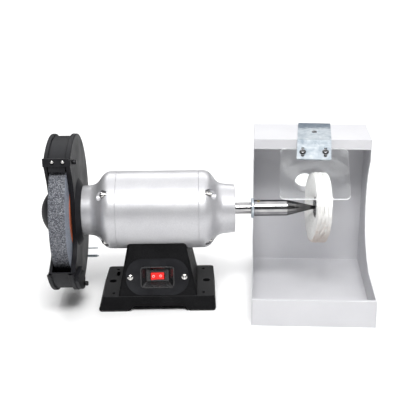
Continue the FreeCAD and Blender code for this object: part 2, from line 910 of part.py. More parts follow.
def wheel():
    left = d.wheel_left
    right = d.wheel_right
    edge = d.wheel_chamfer
    outer = d.wheel_radius
    bore = d.shaft_radius
    on_axis(turned("stone", [
        (-left, bore), (-right, bore), (-right, outer - edge), (-right - edge, outer),
        (edge - left, outer), (-left, outer - edge),
    ]), "grinding_wheel")
    paper = d.label_thickness
    labels = fuse("labels", [
        ring("label_left", -left - paper, -left, bore, d.label_radius),
        ring("label_right", -right, paper - right, bore, d.label_radius),
    ])
    on_axis(labels, "wheel_labels")
    rim = d.wheel_flange_radius
    thick = d.wheel_flange_left
    thin = d.wheel_flange_right
    outer_flange = turned("flange_left", [
        (-left - paper - thick, bore), (-left - paper, bore), (-left - paper, rim),
        (-left - paper - 2, rim), (-left - paper - thick, rim - 8),
    ])
    inner_flange = ring("flange_right", paper - right, paper - right + thin, bore, rim)
    on_axis(fuse("flanges", [outer_flange, inner_flange]), "wheel_flanges")
    nut = hexagon("axle_nut", d.wheel_nut_flats.value, d.wheel_nut_height, d.thread_radius)
    face = -(left.value + paper.value + thick.value)
    group("wheel_nut", nut, [along_x(face, 0, d.axis_height.value, 180)])


def spindle():
    start = d.washer_start
    body_start = start + d.washer_thickness
    chamfer = 0.6
    on_axis(turned("washer", [
        (start, d.shaft_radius), (body_start, d.shaft_radius),
        (body_start, d.washer_radius - chamfer), (body_start - chamfer, d.washer_radius),
        (start + chamfer, d.washer_radius), (start, d.washer_radius - chamfer),
    ]), "spindle_washer")
    cone = turned("cone", [
        (body_start, d.shaft_radius), (d.spindle_bore_end, d.shaft_radius),
        (d.spindle_bore_end + 3, 0.0), (d.spindle_tip, 0.0), (d.spindle_tip, d.spindle_tip_radius),
        (d.spindle_cone_start, d.spindle_radius), (body_start + chamfer, d.spindle_radius),
        (body_start, d.spindle_radius - chamfer),
    ])
    turn = FreeCAD.Rotation(Vector(1, 0, 0), 90 - d.set_screw_angle.value)
    hole = rod("set_screw_hole", d.set_screw_radius, 20.0, (d.set_screw_x, 0.0, 0.0), "Z")
    hole.Placement.Rotation = turn
    on_axis(cut("spindle_drilled", cone, hole), "spindle")
    grub = new_body("grub")
    sketch = new_sketch(grub, "XY_Plane", d.shaft_radius)
    circle(sketch, 0.0, 0.0, d.set_screw_radius)
    pad(grub, sketch, 3.0)
    socket = new_sketch(grub, "XY_Plane", d.shaft_radius + 3)
    outline(socket, [
        (1.4 * math.cos(math.radians(60 * step)), 1.4 * math.sin(math.radians(60 * step)))
        for step in range(6)
    ])
    pocket(grub, socket, 2.0)
    where = Vector(d.set_screw_x.value, 0, d.axis_height.value)
    group("spindle_set_screw", grub, [FreeCAD.Placement(where, turn)])


def buff():
    """A stitched cloth wheel that sits a little askew on the taper, with a disc on each face."""
    half = d.buff_half
    rim = d.buff_radius
    soft = d.buff_rim_round
    bore = d.buff_bore
    face = half - d.buff_recess
    seat = face - d.buff_disc
    edge = d.buff_disc_radius
    rise = d.buff_rise
    cloth = turned("cloth", [
        (-seat, bore), (seat, bore), (seat, edge), (face, edge + 0.8), (half, rise),
        (half, rim - soft), (half - soft, rim, soft, 1), (soft - half, rim),
        (-half, rim - soft, soft, 1), (-half, rise), (-face, edge + 0.8), (-seat, edge),
    ])
    discs = fuse("discs", [
        ring("disc_left", -face, -seat, bore, edge),
        ring("disc_right", seat, face, bore, edge),
    ])
    askew = FreeCAD.Rotation(Vector(0, 0, 1), -d.buff_turn.value).multiply(
        FreeCAD.Rotation(Vector(0, 1, 0), d.buff_lean.value))
    for piece, label in ((cloth, "buff_wheel"), (discs, "buff_discs")):
        place(piece, (d.buff_centre_x, 0.0, d.axis_height), askew)
        keep(piece, label)


# Wheel guard

def on_guard(piece, label):
    """Finish a piece that was drawn about the guard's own centre, a little below the motor axis."""
    place(piece, (0.0, 0.0, d.axis_height - d.guard_drop))
    return keep(piece, label)


def opening(sketch, back=0.0, down=0.0):
    """The gap in the guard's side plates, where the work meets the wheel."""
    top = back - d.opening_top_y
    edge = back - d.opening_edge_y
    outline(sketch, [
        (top, 84.0 - down), (back - 47.0, 63.0 - down), (edge, 20.0 - down, 108.0, -1),
        (edge, -20.0 - down), (back - 57.0, -49.5 - down, 36.0, -1), (back - 80.0, -59.0 - down),
        (back - 96.0, -54.8 - down), (back - 130.0, -73.9 - down),
        (back - 130.0, 130.0), (top, 130.0),
    ])


def mouth_lip(name, low, high):
    """The return lip along the opening's edge, between two places on X."""
    shapes = []
    for back, down in ((2.0, 0.0), (0.0, 2.0), (0.0, 0.0)):
        body = new_body(name)
        sketch = new_sketch(body, "YZ_Plane", low - (0.0 if back + down > 0 else 1.0))
        opening(sketch, back, down)
        pad(body, sketch, high - low + (0.0 if back + down > 0 else 2.0))
        shapes.append(body)
    strip = cut(name + "_strip", fuse(name + "_wide", shapes[:2]), shapes[2])
    disc = rod(name + "_disc", d.band_outer - d.guard_sheet - 0.2, high - low + 2,
               (low - 1, 0.0, 0.0))
    return common(name + "_inside", strip, disc)


def guard_shell():
    right = -d.guard_right
    inner = right - d.guard_sheet
    rim = d.guard_rim_inner
    plate = turned("inner_plate", [
        (inner, d.guard_hole), (right, d.guard_hole), (right, d.guard_radius - 1.5),
        (right - 1.5, d.guard_radius, 1.5, 1), (-d.guard_right_rim + 1, d.guard_radius),
        (-d.guard_right_rim, d.guard_radius - 1, 1.0, 1), (-d.guard_right_rim, rim), (inner, rim),
    ])
    cut_out = new_sketch(plate, "YZ_Plane", right + 1)
    opening(cut_out)
    pocket(plate, cut_out, 20.0)
    holes = new_sketch(plate, "YZ_Plane", right + 1)
    for angle in GUARD_SCREWS:
        circle(holes, *polar(d.guard_screw_circle.value, angle), d.bolt_radius + 0.3)
    circle(holes, -d.top_knob_y, d.top_knob_rise, d.small_screw + d.fit_gap)
    circle(holes, -d.rest_knob_y, -d.rest_knob_drop, d.small_screw + d.fit_gap)
    circle(holes, -d.rest_bolt_y, -d.rest_bolt_drop, d.small_screw + d.fit_gap)
    pocket(plate, holes, 10.0)
    lip = mouth_lip("inner_lip", right - d.guard_lip, right - 1)
    on_guard(fuse("inner_plate_lipped", [plate, lip]), "guard_inner_plate")

    rim_radius = d.guard_flange_radius
    end = -d.guard_flange_end
    flange = turned("neck_flange", [
        (right, d.guard_hole), (end, d.guard_hole), (end, rim_radius - 8),
        (end - 0.8, rim_radius - 7), (right, rim_radius + 2),
    ])
    holes = new_sketch(flange, "YZ_Plane", end + 1)
    for angle in GUARD_SCREWS:
        circle(holes, *polar(d.guard_screw_circle.value, angle), d.bolt_radius + 0.3)
    pocket(flange, holes, 10.0)
    seat = rod("neck_seat", d.neck_end_radius + 0.6, 20.0, (-d.bell_end, 0.0, d.guard_drop))
    on_guard(cut("flange_cut", flange, seat), "guard_flange")

    left = -d.guard_left
    sheet_left = left + d.guard_sheet
    lid = turned("lid", [
        (left - d.dome_depth, 0.0), (left - d.dome_depth, 2.0),
        (left, d.dome_edge, d.dome_radius, -1),
        (left, d.guard_radius - 1.5), (left + 1.5, d.guard_radius, 1.5, -1),
        (-d.guard_left_rim - 1, d.guard_radius),
        (-d.guard_left_rim, d.guard_radius - 1, 1.0, -1), (-d.guard_left_rim, rim),
        (sheet_left, rim), (sheet_left, d.dome_inner_edge),
        (left - d.dome_depth + d.guard_sheet, 2.0, d.dome_radius - d.guard_sheet, 1),
        (left - d.dome_depth + d.guard_sheet, 0.0),
    ])
    lid_cut = new_sketch(lid, "YZ_Plane", -d.guard_left_rim + 1)
    opening(lid_cut)
    pocket(lid, lid_cut, 20.0)
    lid_holes = new_sketch(lid, "YZ_Plane", sheet_left + 1)
    for angle in LUG_ANGLES:
        circle(lid_holes, *polar(d.lug_circle.value, angle), d.small_screw + 0.2)
    pocket(lid, lid_holes, 5.0)
    lip = mouth_lip("cover_lip", sheet_left - 0.6, sheet_left + 2)
    on_guard(fuse("lid_lipped", [lid, lip]), "guard_outer_cover")

    band = ring("rolled_band", sheet_left, inner, d.band_outer - d.guard_sheet, d.band_outer)
    mouth = new_sketch(band, "YZ_Plane", sheet_left - 1)
    outline(mouth, [
        (-d.tab_front, 130.0), (-130.0, 130.0), (-130.0, -73.9), (-96.0, -54.8), (-80.0, -45.8),
        (-d.tab_front, 0.0),
    ])
    pocket(band, mouth, 50.0, True)
    lugs = new_sketch(band, "YZ_Plane", sheet_left)
    for angle in LUG_ANGLES:
        circle(lugs, *polar(d.lug_circle.value, angle), d.lug_radius)
    pad(band, lugs, d.guard_left - d.guard_sheet - d.lug_end)
    tab = new_sketch(band, "YZ_Plane", -d.tab_left)
    rectangle(tab, -d.tab_front, d.tab_low, d.guard_sheet - d.tab_front, d.tab_high)
    pad(band, tab, d.tab_left - d.tab_right)
    taps = new_sketch(band, "YZ_Plane", sheet_left)
    for angle in LUG_ANGLES:
        circle(taps, *polar(d.lug_circle.value, angle), d.small_screw + d.fit_gap)
    pocket(band, taps, 8.0, True)
    tab_taps = new_sketch(band, "XZ_Plane", d.tab_front - 5)
    for x in (d.tongue_screw_left, d.tongue_screw_right):
        circle(tab_taps, -x, d.tongue_screw_height, d.tongue_screw + d.fit_gap)
    pocket(band, tab_taps, 10.0, True)
    on_guard(band, "guard_band")


def guard_fittings():
    height = (d.axis_height - d.guard_drop).value
    tongue = new_body("tongue")
    sketch = new_sketch(tongue, "XZ_Plane", d.tab_front + 0.1)
    rectangle(sketch, -d.tongue_left, d.tongue_low, -d.tongue_right, d.tongue_high)
    for x in (d.tongue_screw_left, d.tongue_screw_right):
        slot(sketch, -x, d.tongue_slot_low, d.tongue_slot_high, d.tongue_screw + 0.2)
    pad(tongue, sketch, d.guard_sheet)
    on_guard(tongue, "tongue_plate")

    tiny = screw("tongue_pan", d.tongue_screw.value, 6.0, 2.1, 1.4, "cross")
    facing_out = FreeCAD.Rotation(Vector(1, 0, 0), 90)
    front = -(d.tab_front.value + d.guard_sheet.value + 0.2)
    group("tongue_screws", tiny, [
        FreeCAD.Placement(Vector(-x.value, front, height + d.tongue_screw_height.value), facing_out)
        for x in (d.tongue_screw_left, d.tongue_screw_right)
    ])
    small = screw("sheet_screw", d.small_screw.value, 7.0, 3.5, 2.2, "cross")
    circle_places = [polar(d.lug_circle.value, angle) for angle in LUG_ANGLES]
    group("guard_sheet_screws", small, [
        along_x(-d.guard_left.value, y, height + z, 180) for y, z in circle_places])

    long = screw("neck_screw", d.bolt_radius.value, 14.0, 4.2, 2.6, "cross")
    face = -(d.guard_right.value + d.guard_sheet.value)
    circle_places = [polar(d.guard_screw_circle.value, angle) for angle in GUARD_SCREWS]
    group("guard_screws", long, [along_x(face, y, height + z, 180) for y, z in circle_places])

    bracket = new_body("rest_arm")
    arm = new_sketch(bracket, "YZ_Plane", -d.guard_right)
    outline(arm, [
        (-83.0, -62.5), (-84.0, -69.9), (-24.0, -107.3, 109.9, 1), (-17.0, -95.0), (-40.0, -67.0),
    ])
    circle(arm, -d.rest_knob_y, -d.rest_knob_drop, d.small_screw + 0.3)
    circle(arm, -d.rest_bolt_y, -d.rest_bolt_drop, d.small_screw + d.fit_gap)
    pad(bracket, arm, d.rest_plate)
    on_guard(bracket, "rest_bracket")

    outside = -(d.guard_right.value - d.rest_plate.value)
    bolt = screw("rest_screw", d.small_screw.value, 8.0, 3.8, 2.4, "cross")
    group("rest_bolt", bolt, [
        along_x(outside, -d.rest_bolt_y.value, height - d.rest_bolt_drop.value)])

    for label, start, y, z, length in (
            ("rest_knob", outside, d.rest_knob_y.value, -d.rest_knob_drop.value, 5.2),
            ("top_knob", -d.guard_right.value, d.top_knob_y.value, d.top_knob_rise.value, 6.2)):
        thumb = new_body("thumb")
        profile = new_sketch(thumb, "XZ_Plane")
        outline(profile, [
            (0.0, -7.0), (d.small_screw - 0.1, -7.0), (d.small_screw - 0.1, 0.1),
            (d.knob_radius - 0.6, 0.1), (d.knob_radius, 0.8), (d.knob_radius, length - 1),
            (d.knob_radius - 1, length), (0.0, length),
        ])
        revolve(thumb, profile, "V_Axis")
        group(label, thumb, [along_x(start, -y, height + z)])

    lug = new_body("back_lug")
    web = new_sketch(lug, "YZ_Plane", -d.rear_lug_start)
    low_y, low_z = polar(d.band_outer.value + 0.3, 180 + 64)
    high_y, high_z = polar(d.band_outer.value + 0.3, 180 + 43)
    low_y2, low_z2 = polar(d.stud_circle.value + 5, 180 + 62)
    high_y2, high_z2 = polar(d.stud_circle.value + 5, 180 + 45)
    outline(web, [
        (high_y, high_z), (low_y, low_z, d.band_outer + 0.3, -1),
        (low_y2, low_z2), (high_y2, high_z2),
    ])
    pad(lug, web, d.rear_lug_start - d.rear_lug_end)
    on_guard(lug, "rear_lug")
    studs = []
    for angle, radius, length in ((180 + 50.6, 0.9, 21.5), (180 + 57.6, 1.9, 21.0)):
        y, z = polar(d.stud_circle.value, angle)
        studs.append(rod("stud", radius, length, (-d.rear_lug_end, y, z)))
    tip_y, tip_z = polar(d.stud_circle.value, 180 + 57.6)
    studs.append(rod("stud_tip", 0.9, 23.5, (-d.rear_lug_end, tip_y, tip_z)))
    on_guard(fuse("studs", studs), "rear_studs")


# Base

def face_frame(height, rear=False):
    """The frame of the sloping front or rear face: x across, y up the slope, z outwards."""
    rise = (height - d.foot_top.value) / (d.pedestal_top.value - d.foot_top.value)
    out = d.pedestal_low_y.value + rise * (d.pedestal_top_y.value - d.pedestal_low_y.value)
    lean = math.degrees(math.atan2(d.pedestal_low_y.value - d.pedestal_top_y.value,
                                   d.pedestal_top.value - d.foot_top.value))
    tilt = FreeCAD.Rotation(Vector(1, 0, 0), 90 - lean)
    if not rear:
        return FreeCAD.Placement(Vector(d.pedestal_shift.value, -out, height), tilt)
    front = FreeCAD.Placement(Vector(0, -out, height), tilt)
    return FreeCAD.Placement(Vector(0, 0, 0), FreeCAD.Rotation(Vector(0, 0, 1), 180)).multiply(front)


def base():
    wall = d.casting_wall
    foot = frustum("foot", d.pad_height, d.foot_top, (d.foot_low_x, d.foot_low_y),
                   (d.foot_top_x, d.foot_top_y), d.foot_shift, d.foot_skew)
    foot = round_edges("foot_round", foot, d.foot_corner, upright)
    pedestal = frustum("pedestal", d.foot_top - 2, d.pedestal_top,
                       (d.pedestal_low_x, d.pedestal_low_y), (d.pedestal_top_x, d.pedestal_top_y),
                       d.pedestal_shift)
    pedestal = round_edges("pedestal_round", pedestal, d.pedestal_corner, upright)
    outside = fuse("casting_outside", [foot, pedestal])
    foot_room = frustum("foot_room", d.pad_height - 1, d.foot_top - wall,
                        (d.foot_low_x - wall, d.foot_low_y - wall),
                        (d.foot_top_x - wall, d.foot_top_y - wall), d.foot_shift, d.foot_skew)
    pedestal_room = frustum("pedestal_room", d.foot_top - wall - 1, d.pedestal_top - 2,
                            (d.pedestal_low_x - wall, d.pedestal_low_y - wall),
                            (d.pedestal_top_x - wall, d.pedestal_top_y - wall), d.pedestal_shift)
    saddle_wall = rod("saddle_wall", d.motor_radius + wall, 200.0, (-100.0, 0.0, d.axis_height))
    room = fuse("casting_room", [foot_room, cut("room_below_motor", pedestal_room, saddle_wall)])
    shell = cut("casting_shell", outside, room)
    bosses = []
    for side in (-1, 1):
        bosses.append(rod("bench_boss", d.bench_boss, d.foot_top - 2 - d.pad_height,
                          (d.bench_hole_x * side, 0.0, d.pad_height), "Z"))
        for side_y in (-1, 1):
            bosses.append(rod("corner_boss", d.corner_hole + 3, d.foot_top - 2 - d.pad_height,
                              (d.corner_hole_x * side, d.corner_hole_y * side_y, d.pad_height), "Z"))
            bosses.append(rod("plate_boss", d.plate_boss, 28.0,
                              (d.plate_boss_x * side, d.plate_boss_y * side_y,
                               d.base_plate_low + d.base_plate), "Z"))
    solid = fuse("casting_solid", [shell] + bosses)
    arch = frustum("arch", -1.0, d.arch_height, (d.arch_low_x, d.foot_low_y + 5),
                   (d.arch_top_x, d.foot_low_y + 5))
    saddle = rod("saddle", d.motor_radius + d.fit_gap, 200.0, (-100.0, 0.0, d.axis_height))
    tools = [arch, saddle]
    for side in (-1, 1):
        tools.append(rod("bench_hole", d.bench_hole, 40.0, (d.bench_hole_x * side, 0.0, -5.0), "Z"))
        tools.append(rod("motor_hole", d.motor_screw + d.fit_gap, 40.0,
                         (d.motor_screw_x * side, 0.0, 60.0), "Z"))
        for side_y in (-1, 1):
            tools.append(rod("corner_hole", d.corner_hole, 40.0,
                             (d.corner_hole_x * side, d.corner_hole_y * side_y, -5.0), "Z"))
            tools.append(rod("plate_hole", d.small_screw + d.fit_gap, 14.0,
                             (d.plate_boss_x * side, d.plate_boss_y * side_y,
                              d.base_plate_low + d.base_plate), "Z"))
    slot_body = new_body("side_slot")
    sketch = new_sketch(slot_body, "XY_Plane", 10.0)
    slot(sketch, -d.side_slot_x, d.side_slot_y - d.side_slot_half,
         d.side_slot_y + d.side_slot_half, d.corner_hole)
    pad(slot_body, sketch, 20.0)
    tools.append(slot_body)
    window = new_body("switch_window")
    sketch = new_sketch(window, "XY_Plane", -20.0)
    rounded(sketch, d.dish_top_x + 1.4, d.dish_top_y + 1.4, 4.8)
    for side in (-1, 1):
        circle(sketch, d.switch_screw_x * side, 0.0, d.small_screw + d.fit_gap)
    window.AllowCompound = True
    pad(window, sketch, 30.0)
    window.Placement = face_frame(d.switch_height.value)
    tools.append(window)
    gland_hole = doc.addObject("Part::Cylinder", "gland_hole")
    gland_hole.Radius = 6.25
    gland_hole.Height = 30.0
    gland_hole.Placement = face_frame(d.gland_height.value, True).multiply(
        FreeCAD.Placement(Vector(0, 0, -15), FreeCAD.Rotation()))
    tools.append(gland_hole)
    keep(cut("base_casting_cut", solid, fuse("casting_tools", tools)), "base_casting")


def base_fittings():
    pads = []
    for side in (-1, 1):
        body = new_body("pad")
        sketch = new_sketch(body, "XY_Plane")
        inner = d.arch_low_x + 0.6
        rectangle(sketch, (inner if side > 0 else d.foot_shift - d.foot_low_x + 0.6),
                  -d.foot_low_y + 0.6,
                  (d.foot_shift + d.foot_low_x - 0.6 if side > 0 else -inner), d.foot_low_y - 0.6)
        circle(sketch, d.bench_hole_x * side, 0.0, d.bench_hole)
        for side_y in (-1, 1):
            circle(sketch, d.corner_hole_x * side, d.corner_hole_y * side_y, d.corner_hole)
        if side < 0:
            slot(sketch, -d.side_slot_x, d.side_slot_y - d.side_slot_half,
                 d.side_slot_y + d.side_slot_half, d.corner_hole)
        pad(body, sketch, d.pad_height)
        soften(body, d.foot_corner, lambda edge: upright(edge) and edge.Vertexes[0].Point.distanceToPoint(
            Vector(edge.Vertexes[0].X, 0, edge.Vertexes[0].Z)) > 20)
        pads.append(body)
    keep(fuse("pads", pads), "foot_pads")

    plate = new_body("bottom")
    sketch = new_sketch(plate, "XY_Plane")
    rectangle(sketch, -d.base_plate_x, -d.base_plate_y, d.base_plate_x, d.base_plate_y)
    for side in (-1, 1):
        for side_y in (-1, 1):
            circle(sketch, d.plate_boss_x * side, d.plate_boss_y * side_y, d.small_screw + 0.3)
    pad(plate, sketch, d.base_plate)
    place(plate, (0.0, 0.0, d.base_plate_low))
    keep(plate, "base_plate")

    pan = screw("plate_screw", d.small_screw.value, 12.0, 3.8, 2.4, "cross")
    down = FreeCAD.Rotation(Vector(1, 0, 0), 180)
    corners = [(side * d.plate_boss_x.value, side_y * d.plate_boss_y.value)
               for side in (-1, 1) for side_y in (-1, 1)]
    group("base_plate_screws", pan, [
        FreeCAD.Placement(Vector(x, y, d.base_plate_low.value), down) for x, y in corners])

    thick = screw("saddle_screw", d.motor_screw.value, 7.6, 5.0, 3.4, "socket")
    seat = d.axis_height.value - d.motor_radius.value - d.casting_wall.value
    group("motor_screws", thick, [
        FreeCAD.Placement(Vector(side * d.motor_screw_x.value, 0, seat), down) for side in (-1, 1)])

    can = turned("can", [
        (-d.capacitor_length / 2, 0.0), (-d.capacitor_length / 2, d.capacitor_radius - 1.5),
        (-d.capacitor_length / 2 + 1.5, d.capacitor_radius, 1.5, -1),
        (d.capacitor_length / 2 - 1.5, d.capacitor_radius),
        (d.capacitor_length / 2, d.capacitor_radius - 1.5, 1.5, -1), (d.capacitor_length / 2, 0.0),
    ])
    place(can, (0.0, d.capacitor_y, d.capacitor_height))
    keep(can, "capacitor")
    hoop = ring("hoop", -6.0, 6.0, d.capacitor_radius, d.capacitor_radius + 1.2)
    place(hoop, (0.0, d.capacitor_y, d.capacitor_height))
    top_of_plate = d.base_plate_low + d.base_plate
    foot = block("clip_foot", (-6.0, d.capacitor_y - 9, top_of_plate), (12.0, 18.0, 4.0))
    bore = rod("clip_bore", d.capacitor_radius, 14.0, (-7.0, d.capacitor_y, d.capacitor_height))
    keep(cut("clip_cut", fuse("clip", [hoop, foot]), bore), "capacitor_clip")

    gland = new_body("gland")
    sketch = new_sketch(gland, "XZ_Plane")
    outline(sketch, [
        (d.gland_bore, -8.0), (6.2, -8.0), (6.2, 0.0), (9.5, 0.0), (9.5, 2.4), (8.0, 3.4),
        (6.6, 4.0), (5.4, 20.0), (4.8, 21.0), (d.gland_bore, 21.0),
    ])
    revolve(gland, sketch, "V_Axis")
    gland.Placement = face_frame(d.gland_height.value, True)
    keep(gland, "cable_gland")


def switch():
    frame = face_frame(d.switch_height.value)
    plate = new_body("cover_plate")
    sketch = new_sketch(plate, "XY_Plane")
    rounded(sketch, d.switch_plate_x, d.switch_plate_y, d.switch_plate_corner)
    rounded(sketch, d.dish_top_x + 1.4, d.dish_top_y + 1.4, 4.8)
    for side in (-1, 1):
        circle(sketch, d.switch_screw_x * side, 0.0, d.small_screw + 0.3)
    pad(plate, sketch, d.switch_plate)
    plate.Placement = frame
    keep(plate, "switch_plate")

    pan = screw("switch_screw", d.small_screw.value, 9.0, 4.2, 2.6, "cross")
    group("switch_plate_screws", pan, [
        frame.multiply(FreeCAD.Placement(
            Vector(side * d.switch_screw_x.value, 0, d.switch_plate.value), FreeCAD.Rotation()))
        for side in (-1, 1)])

    top = d.switch_plate
    floor = top + d.bezel_lip - d.dish_depth
    cup = new_body("cup")
    lip = new_sketch(cup, "XY_Plane", top)
    rounded(lip, d.bezel_x, d.bezel_y, 5.6)
    pad(cup, lip, d.bezel_lip)
    wall = d.dish_wall
    for kind, upper, lower, corner in (
            ("PartDesign::AdditiveLoft", (top, wall, 0.0), (floor - wall, wall, 0.0), 4.8),
            ("PartDesign::SubtractiveLoft", (top + d.bezel_lip, 0.0, 0.0), (floor, 0.0, 0.0), 3.8)):
        first = new_sketch(cup, "XY_Plane", upper[0])
        rounded(first, d.dish_top_x + upper[1], d.dish_top_y + upper[1], corner)
        second = new_sketch(cup, "XY_Plane", lower[0])
        rounded(second, d.dish_floor_x + lower[1], d.dish_floor_y + lower[1], corner * 0.5)
        loft = cup.newObject(kind, "cup_loft")
        loft.Profile = first
        loft.Sections = [second]
    hole = new_sketch(cup, "XY_Plane", floor)
    rectangle(hole, -d.frame_opening_x - 0.6, -d.frame_opening_y - 0.6,
              d.frame_opening_x + 0.6, d.frame_opening_y + 0.6)
    pocket(cup, hole, 5.0)
    cup.Placement = frame
    keep(cup, "switch_bezel")

    case = new_body("case")
    flange = new_sketch(case, "XY_Plane", floor)
    rounded(flange, d.frame_half_x, d.frame_half_y, 1.2)
    pad(case, flange, d.frame_lip)
    barrel = new_sketch(case, "XY_Plane", floor)
    rectangle(barrel, -d.frame_opening_x - 0.5, -d.frame_opening_y - 0.5,
              d.frame_opening_x + 0.5, d.frame_opening_y + 0.5)
    pad(case, barrel, 15.0, True)
    for x in (-7.0, 0.0, 7.0):
        tab = new_sketch(case, "XY_Plane", floor - 15)
        rectangle(tab, x - 0.4, -2.4, x + 0.4, 2.4)
        pad(case, tab, 7.0, True)
    well = new_sketch(case, "XY_Plane", floor + d.frame_lip)
    rectangle(well, -d.frame_opening_x, -d.frame_opening_y, d.frame_opening_x, d.frame_opening_y)
    pocket(case, well, 13.0)
    face = floor + d.frame_lip
    bores = new_sketch(case, "XZ_Plane", -10.0)
    circle(bores, 0.0, face - d.rocker_pivot, d.rocker_pin + d.fit_gap)
    pocket(case, bores, 20.0, True)
    case.Placement = frame
    keep(case, "switch_body")

    half = d.rocker_half_x
    rocker = new_body("rocker")
    sketch = new_sketch(rocker, "XZ_Plane", -d.rocker_half_y)
    outline(sketch, [
        (-half, face + 2.6), (-8.0, face - 7), (8.0, face - 7), (half, face + 0.1), (0.0, face + 0.6),
    ])
    pad(rocker, sketch, d.rocker_half_y * 2)
    pins = new_sketch(rocker, "XZ_Plane", -d.rocker_half_y - 0.7)
    circle(pins, 0.0, face - d.rocker_pivot, d.rocker_pin)
    pad(rocker, pins, d.rocker_half_y * 2 + 1.4)
    rocker.Placement = frame
    keep(rocker, "switch_rocker")


# Hood

def hood_frame():
    return FreeCAD.Placement(
        Vector(d.hood_x.value, d.hood_y.value, 0),
        FreeCAD.Rotation(Vector(0, 0, 1), d.hood_turn.value))


def in_hood(piece, label):
    """Finish a piece that was drawn in the hood's own frame, from its left rear corner."""
    place(piece, (d.hood_x, d.hood_y, 0.0), FreeCAD.Rotation(Vector(0, 0, 1), d.hood_turn.value))
    return keep(piece, label)


def hood():
    width = d.hood_width
    height = d.hood_height
    skin = d.sheet
    back = new_body("back")
    sketch = new_sketch(back, "XZ_Plane")
    rectangle(sketch, skin, 0.0, width - skin, height)
    circle(sketch, d.duct_x, d.duct_height, d.duct_radius)
    pad(back, sketch, skin)
    in_hood(back, "hood_back")

    for start, label in ((0.0, "hood_left_side"), (width - skin, "hood_right_side")):
        side = new_body("side")
        sketch = new_sketch(side, "YZ_Plane", start)
        outline(sketch, [
            (0.0, 0.0), (0.0, height), (-d.hood_depth, height), (-d.hood_depth, d.edge_straight),
            (-d.edge_deep_y, d.edge_deep_z, d.edge_upper_radius, -1),
            (-d.edge_low_y, d.edge_low_z, d.edge_lower_radius, -1),
            (-d.edge_sweep_y, d.edge_sweep_z),
            (-d.edge_flat_y, d.edge_flat_z, d.edge_sweep_radius, 1),
            (-d.tray_depth, d.edge_front_z), (-d.tray_depth, 0.0),
        ])
        pad(side, sketch, skin)
        in_hood(side, label)

    top = new_body("top")
    sketch = new_sketch(top, "YZ_Plane", skin)
    outline(sketch, [
        (-skin, height - skin), (-skin, height), (-d.hood_depth, height),
        (-d.hood_depth, d.lip_bottom), (skin - d.hood_depth, d.lip_bottom),
        (skin - d.hood_depth, height - skin),
    ])
    pad(top, sketch, width - skin * 2)
    holes = new_sketch(top, "XY_Plane", height + 1)
    circle(holes, d.bracket_x, -d.bracket_y, d.small_screw + d.fit_gap)
    pocket(top, holes, 5.0)
    in_hood(top, "hood_top")

    tray = new_body("tray")
    sketch = new_sketch(tray, "YZ_Plane", skin)
    front = -d.tray_depth
    outline(sketch, [
        (-skin, 0.0), (-skin, skin), (front + skin, skin), (front + skin, d.tray_front - skin),
        (front + d.tray_hem, d.tray_front - skin), (front + d.tray_hem, d.tray_front),
        (front, d.tray_front), (front, 0.0),
    ])
    pad(tray, sketch, width - skin * 2)
    in_hood(tray, "hood_tray")

    spigot = new_body("spigot")
    sketch = new_sketch(spigot, "XZ_Plane")
    circle(sketch, d.duct_x, d.duct_height, d.duct_flange)
    circle(sketch, d.duct_x, d.duct_height, d.duct_radius)
    pad(spigot, sketch, skin, True)
    tube = new_sketch(spigot, "XZ_Plane")
    circle(tube, d.duct_x, d.duct_height, d.duct_radius + skin)
    circle(tube, d.duct_x, d.duct_height, d.duct_radius)
    pad(spigot, tube, d.duct_length, True)
    in_hood(spigot, "duct_spigot")


def bracket_frame():
    """The shield bracket's frame: origin on the hood under its screw."""
    pivot = FreeCAD.Placement(
        Vector(d.bracket_x.value, -d.bracket_y.value, d.hood_height.value),
        FreeCAD.Rotation(Vector(0, 0, 1), d.bracket_turn.value))
    return hood_frame().multiply(pivot)


def leg_frame():
    """The frame of the bracket's leg: x across, y up the leg, z outwards; the fold is at its origin."""
    fold = Vector(0, -d.bracket_fold.value, d.bracket_sheet.value)
    lean = FreeCAD.Rotation(Vector(1, 0, 0), 90 - d.leg_lean.value)
    return bracket_frame().multiply(FreeCAD.Placement(fold, lean))


def panel_frame():
    """The leg's frame turned a little about the middle of its two screws, as the shield hangs."""
    turn = FreeCAD.Rotation(Vector(0, 0, 1), d.shield_turn.value)
    middle = Vector(0, -d.leg_screw.value, 0)
    about = FreeCAD.Placement(Vector(0, 0, 0), turn, middle)
    return leg_frame().multiply(about)


